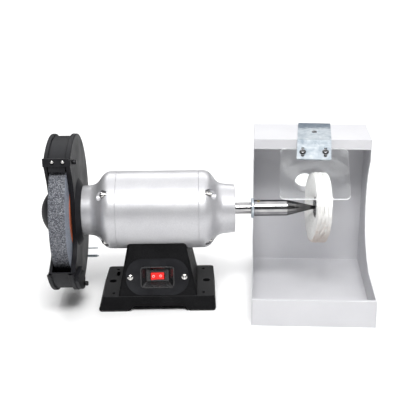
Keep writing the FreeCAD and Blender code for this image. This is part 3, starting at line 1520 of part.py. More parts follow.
def shield():
    thick = d.bracket_sheet
    lean = math.radians(d.leg_lean.value)
    run = d.leg_length.value * math.sin(lean)
    drop = d.leg_length.value * math.cos(lean)
    under = thick.value * math.tan((math.pi / 2 - lean) / 2)
    strip = new_body("strip")
    sketch = new_sketch(strip, "YZ_Plane", -d.bracket_half)
    outline(sketch, [
        (d.bracket_back, 0.0), (d.bracket_back, thick), (-d.bracket_fold, thick),
        (-d.bracket_fold - run, thick - drop),
        (-d.bracket_fold - run + thick.value * math.cos(lean), thick - drop - thick.value * math.sin(lean)),
        (-d.bracket_fold + under, 0.0),
    ])
    pad(strip, sketch, d.bracket_half * 2)
    hole = new_sketch(strip, "XY_Plane", thick + 1)
    circle(hole, 0.0, 0.0, d.small_screw + 0.3)
    pocket(strip, hole, 5.0)
    strip.Placement = bracket_frame()
    slots = new_body("leg_slots")
    sketch = new_sketch(slots, "XY_Plane", -10.0)
    for side in (-1, 1):
        slot(sketch, d.leg_slot_x * side, -d.leg_slot_end, -d.leg_slot_start, d.slot_half_width)
    slots.AllowCompound = True
    pad(slots, sketch, 20.0)
    slots.Placement = leg_frame()
    keep(cut("bracket_cut", strip, slots), "shield_bracket")

    pan = screw("hood_screw", d.small_screw.value, 8.0, 3.8, 2.4, "cross")
    nut = hexagon("hood_nut", 7.0, 3.0, d.small_screw)
    doc.recompute()
    over = bracket_frame().multiply(FreeCAD.Placement(Vector(0, 0, thick.value), FreeCAD.Rotation()))
    beneath = bracket_frame().multiply(
        FreeCAD.Placement(Vector(0, 0, -d.sheet.value - 3.0), FreeCAD.Rotation()))
    pair("bracket_screw", [(pan, over), (nut, beneath)])

    panel = new_body("panel")
    sheet_top = -thick - 0.1
    sketch = new_sketch(panel, "XY_Plane", sheet_top - d.shield_sheet)
    middle = -(d.shield_start + d.shield_end) / 2
    rounded(sketch, d.shield_half, (d.shield_end - d.shield_start) / 2, d.shield_corner, middle)
    for side in (-1, 1):
        circle(sketch, d.leg_slot_x * side, -d.leg_screw, d.small_screw + 0.1)
    pad(panel, sketch, d.shield_sheet)
    panel.Placement = panel_frame()
    keep(panel, "shield_panel")

    low = (sheet_top - d.shield_sheet).value
    head = screw("shield_screw", d.small_screw.value, 9.0, 4.6, 3.0, "cross")
    places = []
    for side in (-1, 1):
        across = side * d.leg_slot_x.value
        seat = panel_frame().multiply(
            FreeCAD.Placement(Vector(across, -d.leg_screw.value, 0.1), FreeCAD.Rotation()))
        below = panel_frame().multiply(
            FreeCAD.Placement(Vector(across, -d.leg_screw.value, low - 3.0), FreeCAD.Rotation()))
        places += [(head, seat), (nut, below)]
    pair("shield_fasteners", places)


def pair(label, items):
    """One node for different fasteners that work together, as separate solids."""
    doc.recompute()
    shapes = []
    for source, placement in items:
        shape = source.Shape.copy()
        shape.Placement = placement.multiply(shape.Placement)
        shapes.append(shape)
    piece = doc.addObject("Part::Feature", label)
    piece.Shape = Part.makeCompound(shapes)
    keep(piece, label)


def check_and_write():
    """Stop if any object failed or any sub-part is not a valid solid; else write each sub-part."""
    doc.recompute()
    faults = [item.Name for item in doc.Objects if "Invalid" in item.State or "Error" in item.State]
    for piece in nodes:
        shape = piece.Shape
        if shape.isNull() or not shape.isValid() or not shape.Solids:
            faults.append(piece.Label)
    if faults:
        sys.exit("not valid: " + ", ".join(faults))
    os.makedirs("parts", exist_ok=True)
    for piece in nodes:
        piece.Shape.exportStep(os.path.join("parts", piece.Label + ".step"))
        print(piece.Label, len(piece.Shape.Solids), round(piece.Shape.Volume / 1000.0, 2), "cm3")


motor_barrel()
end_bell(-1, "end_bell_left")
end_bell(1, "end_bell_right")
tie_bolts()
stator()
bearing_parts()
rotor()
wheel()
spindle()
buff()
guard_shell()
guard_fittings()
base()
base_fittings()
switch()
hood()
shield()
check_and_write()
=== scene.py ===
import json
import math
import random

import bpy
from mathutils import Matrix, Vector


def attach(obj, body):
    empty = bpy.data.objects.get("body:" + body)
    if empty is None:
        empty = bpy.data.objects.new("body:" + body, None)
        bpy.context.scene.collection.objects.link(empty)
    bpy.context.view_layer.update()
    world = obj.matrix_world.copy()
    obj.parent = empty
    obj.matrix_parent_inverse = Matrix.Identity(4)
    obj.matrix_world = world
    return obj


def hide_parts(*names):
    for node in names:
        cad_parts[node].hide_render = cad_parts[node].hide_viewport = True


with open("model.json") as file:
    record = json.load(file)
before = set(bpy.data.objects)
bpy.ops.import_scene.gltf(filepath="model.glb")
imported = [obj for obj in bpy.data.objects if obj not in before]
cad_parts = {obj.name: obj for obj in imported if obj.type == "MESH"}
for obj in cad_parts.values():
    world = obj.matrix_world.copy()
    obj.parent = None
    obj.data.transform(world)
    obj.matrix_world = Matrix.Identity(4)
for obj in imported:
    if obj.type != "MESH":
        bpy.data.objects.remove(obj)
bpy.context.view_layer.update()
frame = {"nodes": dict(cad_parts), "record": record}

MM = 0.001
AXIS_HEIGHT = 135.0
TAPER_START = 0.1834
STONE_SIDE = -0.1186
FOOT_TOP_LOW = 0.0226
FOOT_TOP_HIGH = 0.0236
HOOD_SIDE = 0.15
BRACKET_LOW = 0.20
NODES = frame["nodes"]


# Camera, floor and light

def place_camera():
    """The photograph's view: a long lens a little above the machine."""
    yaw = 0.0098
    pitch = 0.3630
    roll = -0.0090
    ahead = Vector((math.sin(yaw) * math.cos(pitch), math.cos(yaw) * math.cos(pitch), -math.sin(pitch)))
    right = Vector((math.cos(yaw), -math.sin(yaw), 0.0))
    above = right.cross(ahead)
    across = right * math.cos(roll) + above * math.sin(roll)
    upward = above * math.cos(roll) - right * math.sin(roll)
    lens = bpy.data.cameras.new("camera")
    lens.sensor_width = 36.0
    lens.lens = 75.9
    camera = bpy.data.objects.new("camera", lens)
    turn = Matrix((across, upward, -ahead)).transposed().to_4x4()
    camera.matrix_world = Matrix.Translation((0.06014, -1.1655, 0.5785)) @ turn
    bpy.context.collection.objects.link(camera)
    bpy.context.scene.camera = camera


def soft_light(name, place, aim, size, power, colour=(1, 1, 1)):
    lamp = bpy.data.lights.new(name, "AREA")
    lamp.shape = "RECTANGLE"
    lamp.size = size[0]
    lamp.size_y = size[1]
    lamp.energy = power
    lamp.color = colour
    holder = bpy.data.objects.new(name, lamp)
    holder.location = place
    holder.rotation_euler = (Vector(aim) - Vector(place)).to_track_quat("-Z", "Y").to_euler()
    bpy.context.collection.objects.link(holder)


def light_studio():
    """Softboxes overhead, in front, behind and on both sides, in a room that is dark near the horizon."""
    soft_light("top_softbox", (0.0, -0.25, 1.75), (0.05, 0.0, 0.1), (2.4, 1.7), 6)
    soft_light("front_softbox", (0.15, -1.2, 1.75), (0.1, 0.0, 0.1), (1.0, 0.5), 34)
    soft_light("rear_softbox", (0.1, 2.6, 2.2), (0.1, 2.9, 0.0), (3.6, 1.8), 85)
    soft_light("left_softbox", (-1.7, -0.3, 1.4), (0.1, 0.0, 0.1), (0.8, 0.6), 1)
    soft_light("right_softbox", (1.9, -0.3, 1.4), (0.2, 0.0, 0.1), (0.8, 0.6), 2)
    world = bpy.data.worlds.new("studio")
    world.use_nodes = True
    tree = world.node_tree
    direction = tree.nodes.new("ShaderNodeTexCoord")
    parts = tree.nodes.new("ShaderNodeSeparateXYZ")
    sky = tree.nodes.new("ShaderNodeValToRGB")
    tree.links.new(direction.outputs["Generated"], parts.inputs["Vector"])
    tree.links.new(parts.outputs["Z"], sky.inputs["Fac"])
    tree.links.new(sky.outputs["Color"], tree.nodes["Background"].inputs["Color"])
    band = sky.color_ramp
    band.elements[0].position = 0.0
    band.elements[0].color = (0.07, 0.07, 0.075, 1.0)
    band.elements[1].position = 1.0
    band.elements[1].color = (0.95, 0.95, 0.96, 1.0)
    for height, shade in ((0.58, 0.05), (0.74, 0.95)):
        stop = band.elements.new(height)
        stop.color = (shade, shade, shade, 1.0)
    tree.nodes["Background"].inputs["Strength"].default_value = 1.05
    bpy.context.scene.world = world
    bpy.context.scene.view_settings.view_transform = "Standard"


def lay_floor():
    bpy.ops.object.select_all(action="DESELECT")
    bpy.ops.mesh.primitive_plane_add(size=16.0)
    floor = bpy.context.object
    floor.name = "floor"
    paper = Finish("floor_paper", (0.91, 0.91, 0.91), 0.8)
    floor.data.materials.append(paper.material)


# Finishes

class Finish:
    """A procedural surface. Patterns read Object coordinates, in metres."""

    def __init__(self, name, colour, roughness, metallic=0.0, **sockets):
        self.material = bpy.data.materials.new(name)
        self.material.use_nodes = True
        self.tree = self.material.node_tree
        self.shader = self.tree.nodes["Principled BSDF"]
        self.place = None
        self.set("Base Color", (*colour, 1.0))
        self.set("Roughness", roughness)
        self.set("Metallic", metallic)
        for socket, value in sockets.items():
            self.set(socket.replace("_", " "), value)

    def set(self, socket, value):
        self.shader.inputs[socket].default_value = value

    def add(self, kind, **settings):
        node = self.tree.nodes.new(kind)
        for name, value in settings.items():
            setattr(node, name, value)
        return node

    def join(self, start, end):
        self.tree.links.new(start, end)

    def coordinates(self, stretch=(1, 1, 1), shift=(0, 0, 0), turn=(0, 0, 0)):
        if self.place is None:
            self.place = self.add("ShaderNodeTexCoord").outputs["Object"]
        mapping = self.add("ShaderNodeMapping")
        mapping.inputs["Scale"].default_value = stretch
        mapping.inputs["Location"].default_value = shift
        mapping.inputs["Rotation"].default_value = turn
        self.join(self.place, mapping.inputs["Vector"])
        return mapping.outputs["Vector"]

    def noise(self, scale, detail=2.0, where=None, roughness=0.5, distortion=0.0):
        node = self.add("ShaderNodeTexNoise")
        node.inputs["Scale"].default_value = scale
        node.inputs["Detail"].default_value = detail
        node.inputs["Roughness"].default_value = roughness
        node.inputs["Distortion"].default_value = distortion
        self.join(where or self.coordinates(), node.inputs["Vector"])
        return node.outputs["Fac"]

    def cells(self, scale, feature="F1", where=None, output="Distance"):
        node = self.add("ShaderNodeTexVoronoi", feature=feature)
        node.inputs["Scale"].default_value = scale
        self.join(where or self.coordinates(), node.inputs["Vector"])
        return node.outputs[output]

    def ramp(self, value, stops):
        node = self.add("ShaderNodeValToRGB")
        band = node.color_ramp
        band.elements[0].position = stops[0][0]
        band.elements[1].position = stops[-1][0]
        for place, _ in stops[1:-1]:
            band.elements.new(place)
        for element, (_, shade) in zip(band.elements, stops):
            element.color = (*shade, 1.0) if isinstance(shade, tuple) else (shade, shade, shade, 1.0)
        self.join(value, node.inputs["Fac"])
        return node.outputs["Color"]

    def sum(self, first, second, operation="ADD", factor=None):
        node = self.add("ShaderNodeMath", operation=operation)
        for index, value in enumerate((first, second, factor)):
            if value is None:
                continue
            if isinstance(value, (int, float)):
                node.inputs[index].default_value = value
            else:
                self.join(value, node.inputs[index])
        return node.outputs["Value"]

    def mix(self, factor, first, second, blend="MIX"):
        node = self.add("ShaderNodeMix", data_type="RGBA", blend_type=blend)
        for name, value in (("Factor", factor), ("A", first), ("B", second)):
            sockets = [item for item in node.inputs if item.name == name and item.enabled]
            socket = sockets[0]
            if isinstance(value, tuple):
                socket.default_value = (*value, 1.0)
            elif isinstance(value, (int, float)):
                socket.default_value = value
            else:
                self.join(value, socket)
        return [item for item in node.outputs if item.enabled][0]

    def colour(self, value):
        self.join(value, self.shader.inputs["Base Color"])
        return self

    def rough(self, value):
        self.join(value, self.shader.inputs["Roughness"])
        return self

    def bump(self, height, strength, distance):
        node = self.add("ShaderNodeBump")
        node.inputs["Strength"].default_value = strength
        node.inputs["Distance"].default_value = distance * MM
        self.join(height, node.inputs["Height"])
        if self.shader.inputs["Normal"].is_linked:
            self.join(self.shader.inputs["Normal"].links[0].from_socket, node.inputs["Normal"])
        self.join(node.outputs["Normal"], self.shader.inputs["Normal"])
        return self


def motor_paint():
    """Silver paint with a fine grain and a little handling dirt."""
    paint = Finish("motor_paint", (0.66, 0.66, 0.68), 0.38, 0.55)
    grain = paint.noise(1500.0, 2.0)
    fleck = paint.ramp(grain, [(0.32, (0.47, 0.47, 0.485)), (0.68, (0.60, 0.60, 0.615))])
    worn = paint.ramp(paint.noise(20.0, 4.0), [(0.35, (0.93, 0.93, 0.94)), (0.62, (1.0, 1.0, 1.0))])
    paint.colour(paint.mix(1.0, fleck, worn, "MULTIPLY"))
    paint.rough(paint.ramp(paint.noise(60.0, 3.0), [(0.3, 0.36), (0.7, 0.46)]))
    paint.bump(paint.noise(1100.0, 1.0), 0.22, 0.1)
    paint.bump(paint.noise(150.0, 1.0), 0.08, 0.3)
    return paint.material


def wrinkle_paint():
    """Black crackle paint on the cast base, smoother on the machined tops of the feet."""
    paint = Finish("base_paint", (0.006, 0.006, 0.007), 0.5, Specular_IOR_Level=0.12)
    height = paint.add("ShaderNodeSeparateXYZ")
    paint.join(paint.coordinates(), height.inputs["Vector"])
    above = paint.sum(height.outputs["Z"], FOOT_TOP_LOW, "GREATER_THAN")
    below = paint.sum(height.outputs["Z"], FOOT_TOP_HIGH, "LESS_THAN")
    machined = paint.sum(above, below, "MULTIPLY")
    ridges = paint.cells(560.0, "SMOOTH_F1")
    swirl = paint.noise(420.0, 3.0, distortion=1.2)
    dust = paint.ramp(paint.noise(26.0, 5.0), [
        (0.42, (0.0030, 0.0030, 0.0036)), (0.78, (0.008, 0.008, 0.009))])
    paint.colour(paint.mix(machined, dust, (0.020, 0.020, 0.021)))
    paint.rough(paint.mix(machined, paint.ramp(swirl, [(0.35, 0.50), (0.65, 0.75)]), (0.60, 0.60, 0.60)))
    relief = paint.sum(paint.sum(ridges, swirl, "ADD"), paint.sum(1.0, machined, "SUBTRACT"), "MULTIPLY")
    paint.bump(relief, 0.75, 0.4)
    return paint.material


def guard_paint():
    """Satin black on pressed sheet, a little dusty from grinding."""
    paint = Finish("guard_paint", (0.008, 0.008, 0.010), 0.34, Specular_IOR_Level=0.19)
    dust = paint.noise(32.0, 5.0)
    paint.colour(paint.ramp(dust, [(0.42, (0.006, 0.006, 0.008)), (0.8, (0.022, 0.023, 0.026))]))
    paint.rough(paint.ramp(dust, [(0.35, 0.50), (0.7, 0.66)]))
    paint.bump(paint.noise(900.0, 2.0), 0.03, 0.12)
    return paint.material


def turned_steel():
    """Polished steel with the fine rings that turning leaves along X; painted shade darkens its colour
    where it curves from view and on the tapered end.
    """
    steel = Finish("bright_steel", (0.60, 0.60, 0.62), 0.16, 1.0)
    rings = steel.noise(1.0, 2.0, steel.coordinates((2600.0, 12.0, 12.0)))
    steel.rough(steel.ramp(rings, [(0.3, 0.10), (0.7, 0.24)]))
    # Painted shade: the colour darkens towards edges seen side-on, standing in for dark edge reflections.
    facing = steel.add("ShaderNodeLayerWeight")
    facing.inputs["Blend"].default_value = 0.5
    painted_edge_shade = steel.ramp(facing.outputs["Facing"], [(0.38, (1.0, 1.0, 1.0)), (0.56, (0.10, 0.10, 0.10))])
    tone = steel.ramp(steel.noise(90.0, 3.0), [
        (0.3, (0.33, 0.33, 0.34)), (0.7, (0.46, 0.45, 0.45))])
    place = steel.add("ShaderNodeSeparateXYZ")
    steel.join(steel.coordinates(), place.inputs["Vector"])
    # Painted shade: the tapered end is coloured darker, standing in for the dark reflections on the cone.
    tapered = steel.sum(place.outputs["X"], TAPER_START, "GREATER_THAN")
    painted_taper_shade = steel.ramp(tapered, [(0.0, 1.0), (1.0, 0.42)])
    tone = steel.mix(1.0, tone, painted_taper_shade, "MULTIPLY")
    steel.colour(steel.mix(1.0, tone, painted_edge_shade, "MULTIPLY"))
    steel.bump(rings, 0.10, 0.02)
    return steel.material


def zinc_plate():
    """Zinc plating: bluish, mottled and streaked, softly reflecting."""
    zinc = Finish("zinc_steel", (0.70, 0.76, 0.82), 0.40, 0.6)
    spangle = zinc.noise(95.0, 6.0, roughness=0.65, distortion=0.6)
    streak = zinc.noise(1.0, 3.0, zinc.coordinates((60.0, 900.0, 60.0)))
    tone = zinc.ramp(spangle, [
        (0.30, (0.30, 0.35, 0.40)), (0.47, (0.46, 0.51, 0.55)),
        (0.60, (0.57, 0.61, 0.64)), (0.75, (0.68, 0.71, 0.73))])
    streaks = zinc.ramp(streak, [(0.35, (0.82, 0.85, 0.88)), (0.65, (1.0, 1.0, 1.0))])
    tone = zinc.mix(0.5, tone, streaks, "MULTIPLY")
    place = zinc.add("ShaderNodeSeparateXYZ")
    zinc.join(zinc.coordinates(), place.inputs["Vector"])
    rear = zinc.sum(place.outputs["Y"], zinc.sum(zinc.noise(160.0, 5.0), 0.03, "MULTIPLY"))
    high = zinc.sum(place.outputs["Z"], BRACKET_LOW, "GREATER_THAN")
    # Darker colour on the rear, upper part of the bracket, with a ragged edge from noise.
    rear_top_darkening = zinc.sum(zinc.ramp(rear, [(0.100, 0.0), (0.114, 1.0)]), high, "MULTIPLY")
    zinc.colour(zinc.mix(rear_top_darkening, tone, zinc.mix(1.0, tone, (0.34, 0.38, 0.43), "MULTIPLY")))
    zinc.rough(zinc.ramp(zinc.noise(240.0, 3.0), [(0.3, 0.34), (0.7, 0.50)]))
    zinc.bump(spangle, 0.10, 0.1)
    return zinc.material


def yellow_screw():
    """Bright yellow-passivated steel of the small set screw."""
    brass = Finish("brass_screw", (0.60, 0.52, 0.34), 0.32, 1.0)
    brass.colour(brass.ramp(brass.noise(500.0, 3.0), [
        (0.35, (0.42, 0.35, 0.20)), (0.7, (0.72, 0.64, 0.44))]))
    brass.bump(brass.noise(900.0, 1.0), 0.1, 0.05)
    return brass.material


def nickel_plate():
    """Bright nickel on screws and bolts, duller on the hood."""
    nickel = Finish("nickel_screws", (0.62, 0.61, 0.59), 0.18, 1.0)
    nickel.rough(nickel.ramp(nickel.noise(400.0, 3.0), [(0.3, 0.12), (0.7, 0.26)]))
    place = nickel.add("ShaderNodeSeparateXYZ")
    nickel.join(nickel.coordinates(), place.inputs["Vector"])
    on_hood = nickel.sum(place.outputs["X"], HOOD_SIDE, "GREATER_THAN")
    nickel.colour(nickel.mix(on_hood, (0.62, 0.61, 0.59), (0.17, 0.17, 0.175)))
    nickel.bump(nickel.noise(700.0, 2.0), 0.06, 0.05)
    return nickel.material


def blackened_steel():
    steel = Finish("dark_steel", (0.03, 0.03, 0.032), 0.38, 0.8)
    steel.colour(steel.ramp(steel.noise(300.0, 4.0), [
        (0.4, (0.018, 0.018, 0.02)), (0.7, (0.07, 0.07, 0.07))]))
    steel.bump(steel.noise(900.0, 1.0), 0.15, 0.05)
    return steel.material


def bonded_stone():
    """Grey bonded abrasive with pale and dark grains, bluer and finer on its flat sides."""
    stone = Finish("grinding_stone", (0.40, 0.41, 0.44), 0.92)
    split = stone.add("ShaderNodeSeparateXYZ")
    stone.join(stone.coordinates(), split.inputs["Vector"])
    side = stone.sum(split.outputs["X"], STONE_SIDE, "GREATER_THAN")
    shades = []
    for scale in (900.0, 1900.0):
        grain = stone.add("ShaderNodeSeparateColor")
        stone.join(stone.cells(scale, output="Color"), grain.inputs["Color"])
        shades.append(grain.outputs["Red"])
    mixed = stone.sum(stone.sum(shades[0], 0.65, "MULTIPLY"), stone.sum(shades[1], 0.35, "MULTIPLY"))
    speck = stone.ramp(mixed, [
        (0.12, (0.035, 0.038, 0.046)), (0.38, (0.080, 0.084, 0.098)),
        (0.62, (0.14, 0.147, 0.166)), (0.90, (0.34, 0.35, 0.375))])
    flat = stone.ramp(mixed, [(0.1, (0.18, 0.20, 0.25)), (0.9, (0.33, 0.36, 0.42))])
    cloud = stone.ramp(stone.noise(40.0, 4.0), [(0.3, (0.78, 0.78, 0.80)), (0.7, (1.0, 1.0, 1.0))])
    stone.colour(stone.mix(1.0, stone.mix(side, speck, flat), cloud, "MULTIPLY"))
    stone.bump(stone.cells(800.0), 0.8, 0.6)
    stone.bump(stone.noise(500.0, 3.0), 0.4, 0.4)
    return stone.material


def label_paper():
    """Thick orange-red blotting paper, rubbed and a bit dirty."""
    paper = Finish("label_paper", (0.62, 0.13, 0.04), 0.85)
    fibre = paper.noise(700.0, 3.0)
    dirt = paper.noise(40.0, 5.0)
    ink = paper.ramp(fibre, [(0.3, (0.50, 0.08, 0.03)), (0.7, (0.74, 0.20, 0.07))])
    paper.colour(paper.mix(1.0, ink, paper.ramp(dirt, [(0.3, 0.72), (0.6, 1.0)]), "MULTIPLY"))
    paper.bump(fibre, 0.3, 0.1)
    return paper.material


def cotton_cloth():
    """White cotton, browned by polishing compound in one patch of the rim."""
    cloth = Finish("cotton", (0.90, 0.89, 0.86), 0.95, Sheen_Weight=0.25, Sheen_Roughness=0.5)
    threads = cloth.noise(1.0, 3.0, cloth.coordinates((1500.0, 500.0, 500.0)))
    fuzz = cloth.noise(1200.0, 4.0)
    tone = cloth.ramp(threads, [
        (0.28, (0.62, 0.61, 0.585)), (0.5, (0.76, 0.755, 0.74)), (0.75, (0.83, 0.825, 0.81))])
    place = cloth.add("ShaderNodeSeparateXYZ")
    cloth.join(cloth.coordinates(shift=(-0.2281, 0.0, -0.135)), place.inputs["Vector"])
    down = cloth.sum(place.outputs["Z"], -1.0, "MULTIPLY")
    front = cloth.sum(place.outputs["Y"], -1.0, "MULTIPLY")
    squares = cloth.sum(cloth.sum(down, 2.0, "POWER"), cloth.sum(front, 2.0, "POWER"))
    rim = cloth.sum(cloth.sum(squares, 0.5, "POWER"), 0.0465, "GREATER_THAN")
    low = cloth.sum(cloth.sum(down, 22.0, "MULTIPLY"), cloth.sum(front, 6.0, "MULTIPLY"))
    patch = cloth.sum(cloth.sum(low, cloth.sum(cloth.noise(210.0, 6.0), 1.3, "MULTIPLY")), rim, "MULTIPLY")
    patch = cloth.sum(patch, 0.55, "MULTIPLY")
    stain = cloth.ramp(patch, [(0.56, (1.0, 1.0, 1.0)), (0.96, (0.88, 0.79, 0.74))])
    cloth.colour(cloth.mix(1.0, tone, stain, "MULTIPLY"))
    cloth.bump(threads, 0.7, 0.5)
    cloth.bump(fuzz, 0.5, 0.4)
    return cloth.material


def plain_leather():
    leather = Finish("buff_leather", (0.05, 0.045, 0.045), 0.5)
    grain = leather.cells(900.0)
    leather.colour(leather.ramp(leather.noise(160.0, 4.0), [
        (0.35, (0.02, 0.02, 0.022)), (0.7, (0.11, 0.10, 0.10))]))
    leather.bump(grain, 0.4, 0.2)
    return leather.material


def powder_coat():
    """White powder coat with its orange peel, slightly soiled."""
    coat = Finish("hood_paint", (0.60, 0.60, 0.62), 0.45)
    cloud = coat.noise(14.0, 4.0)
    coat.colour(coat.ramp(cloud, [(0.35, (0.580, 0.580, 0.602)), (0.65, (0.610, 0.610, 0.630))]))
    coat.rough(coat.ramp(coat.noise(50.0, 3.0), [(0.3, 0.38), (0.7, 0.52)]))
    coat.bump(coat.noise(420.0, 2.0), 0.06, 0.2)
    return coat.material


def clear_acrylic():
    """Clear sheet with faint smudges; light passes it and reaches what is behind."""
    clear = Finish("clear_sheet", (0.97, 0.98, 0.98), 0.03, Transmission_Weight=0.99, IOR=1.2,
                   Specular_IOR_Level=0.1)
    clear.rough(clear.ramp(clear.noise(30.0, 5.0), [(0.4, 0.0), (0.8, 0.05)]))
    smudge = clear.ramp(clear.noise(38.0, 6.0), [(0.45, 1.0), (0.75, 0.93)])
    clear.join(smudge, clear.shader.inputs["Transmission Weight"])
    through = clear.add("ShaderNodeBsdfTransparent")
    rays = clear.add("ShaderNodeLightPath")
    blend = clear.add("ShaderNodeMixShader")
    clear.join(clear.sum(rays.outputs["Is Shadow Ray"], 0.94, "MULTIPLY"), blend.inputs["Fac"])
    clear.join(clear.shader.outputs["BSDF"], blend.inputs[1])
    clear.join(through.outputs["BSDF"], blend.inputs[2])
    clear.join(blend.outputs["Shader"], clear.tree.nodes["Material Output"].inputs["Surface"])
    return clear.material


def sawn_acrylic():
    """The milky cut edge of the clear sheet; its faint glow is a painted highlight."""
    # Painted highlight: a faint emission makes the cut edge glow.
    edge = Finish("clear_edge", (0.92, 0.93, 0.94), 0.35, Emission_Color=(0.9, 0.92, 0.95, 1.0),
                  Emission_Strength=0.12)
    edge.colour(edge.ramp(edge.noise(300.0, 3.0), [(0.3, (0.84, 0.85, 0.86)), (0.7, (0.97, 0.97, 0.98))]))
    return edge.material


def moulded(name, colour, roughness, grain=0.12, **sockets):
    plastic = Finish(name, colour, roughness, **sockets)
    lighter = tuple(min(1.0, channel * 1.35 + 0.004) for channel in colour)
    plastic.colour(plastic.ramp(plastic.noise(120.0, 4.0), [(0.35, colour), (0.75, lighter)]))
    plastic.bump(plastic.noise(1500.0, 1.0), grain, 0.06)
    return plastic.material


def rubber():
    sole = Finish("rubber", (0.02, 0.02, 0.02), 0.75)
    sole.colour(sole.ramp(sole.noise(180.0, 5.0), [
        (0.4, (0.014, 0.014, 0.014)), (0.8, (0.05, 0.05, 0.05))]))
    sole.bump(sole.noise(700.0, 2.0), 0.3, 0.15)
    return sole.material


def enamelled_copper():
    wire = Finish("copper", (0.45, 0.17, 0.07), 0.32, 0.8)
    turns = wire.noise(1.0, 2.0, wire.coordinates((900.0, 900.0, 900.0)))
    wire.colour(wire.ramp(turns, [(0.35, (0.24, 0.08, 0.03)), (0.7, (0.62, 0.26, 0.11))]))
    wire.bump(turns, 0.6, 0.4)
    return wire.material


def stacked_sheet():
    stack = Finish("laminations", (0.2, 0.21, 0.22), 0.5, 0.9)
    sheets = stack.noise(1.0, 1.0, stack.coordinates((2000.0, 4.0, 4.0)))
    stack.colour(stack.ramp(sheets, [(0.4, (0.07, 0.07, 0.08)), (0.6, (0.28, 0.29, 0.31))]))
    stack.bump(sheets, 0.5, 0.2)
    return stack.material


def cast_alloy(name, colour):
    alloy = Finish(name, colour, 0.42, 1.0)
    alloy.rough(alloy.ramp(alloy.noise(200.0, 4.0), [(0.3, 0.32), (0.7, 0.52)]))
    alloy.bump(alloy.noise(500.0, 2.0), 0.15, 0.1)
    return alloy.material


place_camera()
light_studio()
lay_floor()

FINISHES = {
    "motor_paint": motor_paint(),
    "base_paint": wrinkle_paint(),
    "guard_paint": guard_paint(),
    "bright_steel": turned_steel(),
    "zinc_steel": zinc_plate(),
    "brass_screw": yellow_screw(),
    "nickel_screws": nickel_plate(),
    "dark_steel": blackened_steel(),
    "laminations": stacked_sheet(),
    "copper": enamelled_copper(),
    "rotor_alloy": cast_alloy("rotor_alloy", (0.66, 0.67, 0.68)),
    "stone": bonded_stone(),
    "label_paper": label_paper(),
    "cotton": cotton_cloth(),
    "buff_leather": plain_leather(),
    "rubber": rubber(),
    "can_metal": cast_alloy("can_metal", (0.70, 0.70, 0.72)),
    "black_plastic": moulded("black_plastic", (0.010, 0.010, 0.011), 0.26),
    # Painted glow: the red rocker plastic emits a little red light, which brightens it though it holds no
    # lamp.
    "red_plastic": moulded(
        "red_plastic", (0.62, 0.010, 0.008), 0.3, Specular_IOR_Level=0.3,
        Emission_Color=(1.0, 0.02, 0.01, 1.0), Emission_Strength=0.18),
    "hood_paint": powder_coat(),
    "clear_sheet": clear_acrylic(),
}
SLOT_OF = {part["node"]: part["material_slot"] for part in frame["record"]["subparts"]}
BODY_OF = {
    node: body
    for body, names in frame["record"]["behaviour"]["bodies"].items()
    for node in names
}


def wear(piece, slot):
    """Give a piece one finish."""
    piece.data.materials.clear()
    piece.data.materials.append(FINISHES[slot])


for node, thing in NODES.items():
    wear(thing, SLOT_OF[node])


# Pieces dressed from the solids: merged, edges broken, shaded smooth

def only(piece):
    bpy.ops.object.select_all(action="DESELECT")
    piece.select_set(True)
    bpy.context.view_layer.objects.active = piece


def apply_all(piece):
    only(piece)
    for modifier in list(piece.modifiers):
        bpy.ops.object.modifier_apply(modifier=modifier.name)


def dress(piece, node):
    """Let a piece stand for a node: it wears the node's finish and rides the node's body."""
    wear(piece, SLOT_OF[node])
    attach(piece, BODY_OF[node])
    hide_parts(node)
    return piece


def copy_of(node):
    """A merged copy of a node's mesh, in the node's own place."""
    piece = bpy.data.objects.new("dressed_" + node, NODES[node].data.copy())
    bpy.context.collection.objects.link(piece)
    only(piece)
    bpy.ops.object.mode_set(mode="EDIT")
    bpy.ops.mesh.select_all(action="SELECT")
    bpy.ops.mesh.remove_doubles(threshold=0.000002)
    bpy.ops.object.mode_set(mode="OBJECT")
    return piece


def dressed(node, edge=0.4, flat=0.6, segments=2, angle=28.0, smooth=35.0):
    """A copy of a node with broken edges."""
    piece = copy_of(node)
    if flat:
        only(piece)
        bpy.ops.object.mode_set(mode="EDIT")
        bpy.ops.mesh.select_all(action="SELECT")
        bpy.ops.mesh.dissolve_limited(angle_limit=math.radians(flat))
        bpy.ops.object.mode_set(mode="OBJECT")
    bevel = piece.modifiers.new("broken_edges", "BEVEL")
    bevel.width = edge * MM
    bevel.segments = segments
    bevel.limit_method = "ANGLE"
    bevel.angle_limit = math.radians(angle)
    bevel.harden_normals = False
    bevel.miter_outer = "MITER_ARC"
    apply_all(piece)
    only(piece)
    bpy.ops.object.shade_smooth_by_angle(angle=math.radians(smooth))
    evened = piece.modifiers.new("evened", "WEIGHTED_NORMAL")
    evened.keep_sharp = True
    apply_all(piece)
    return dress(piece, node)


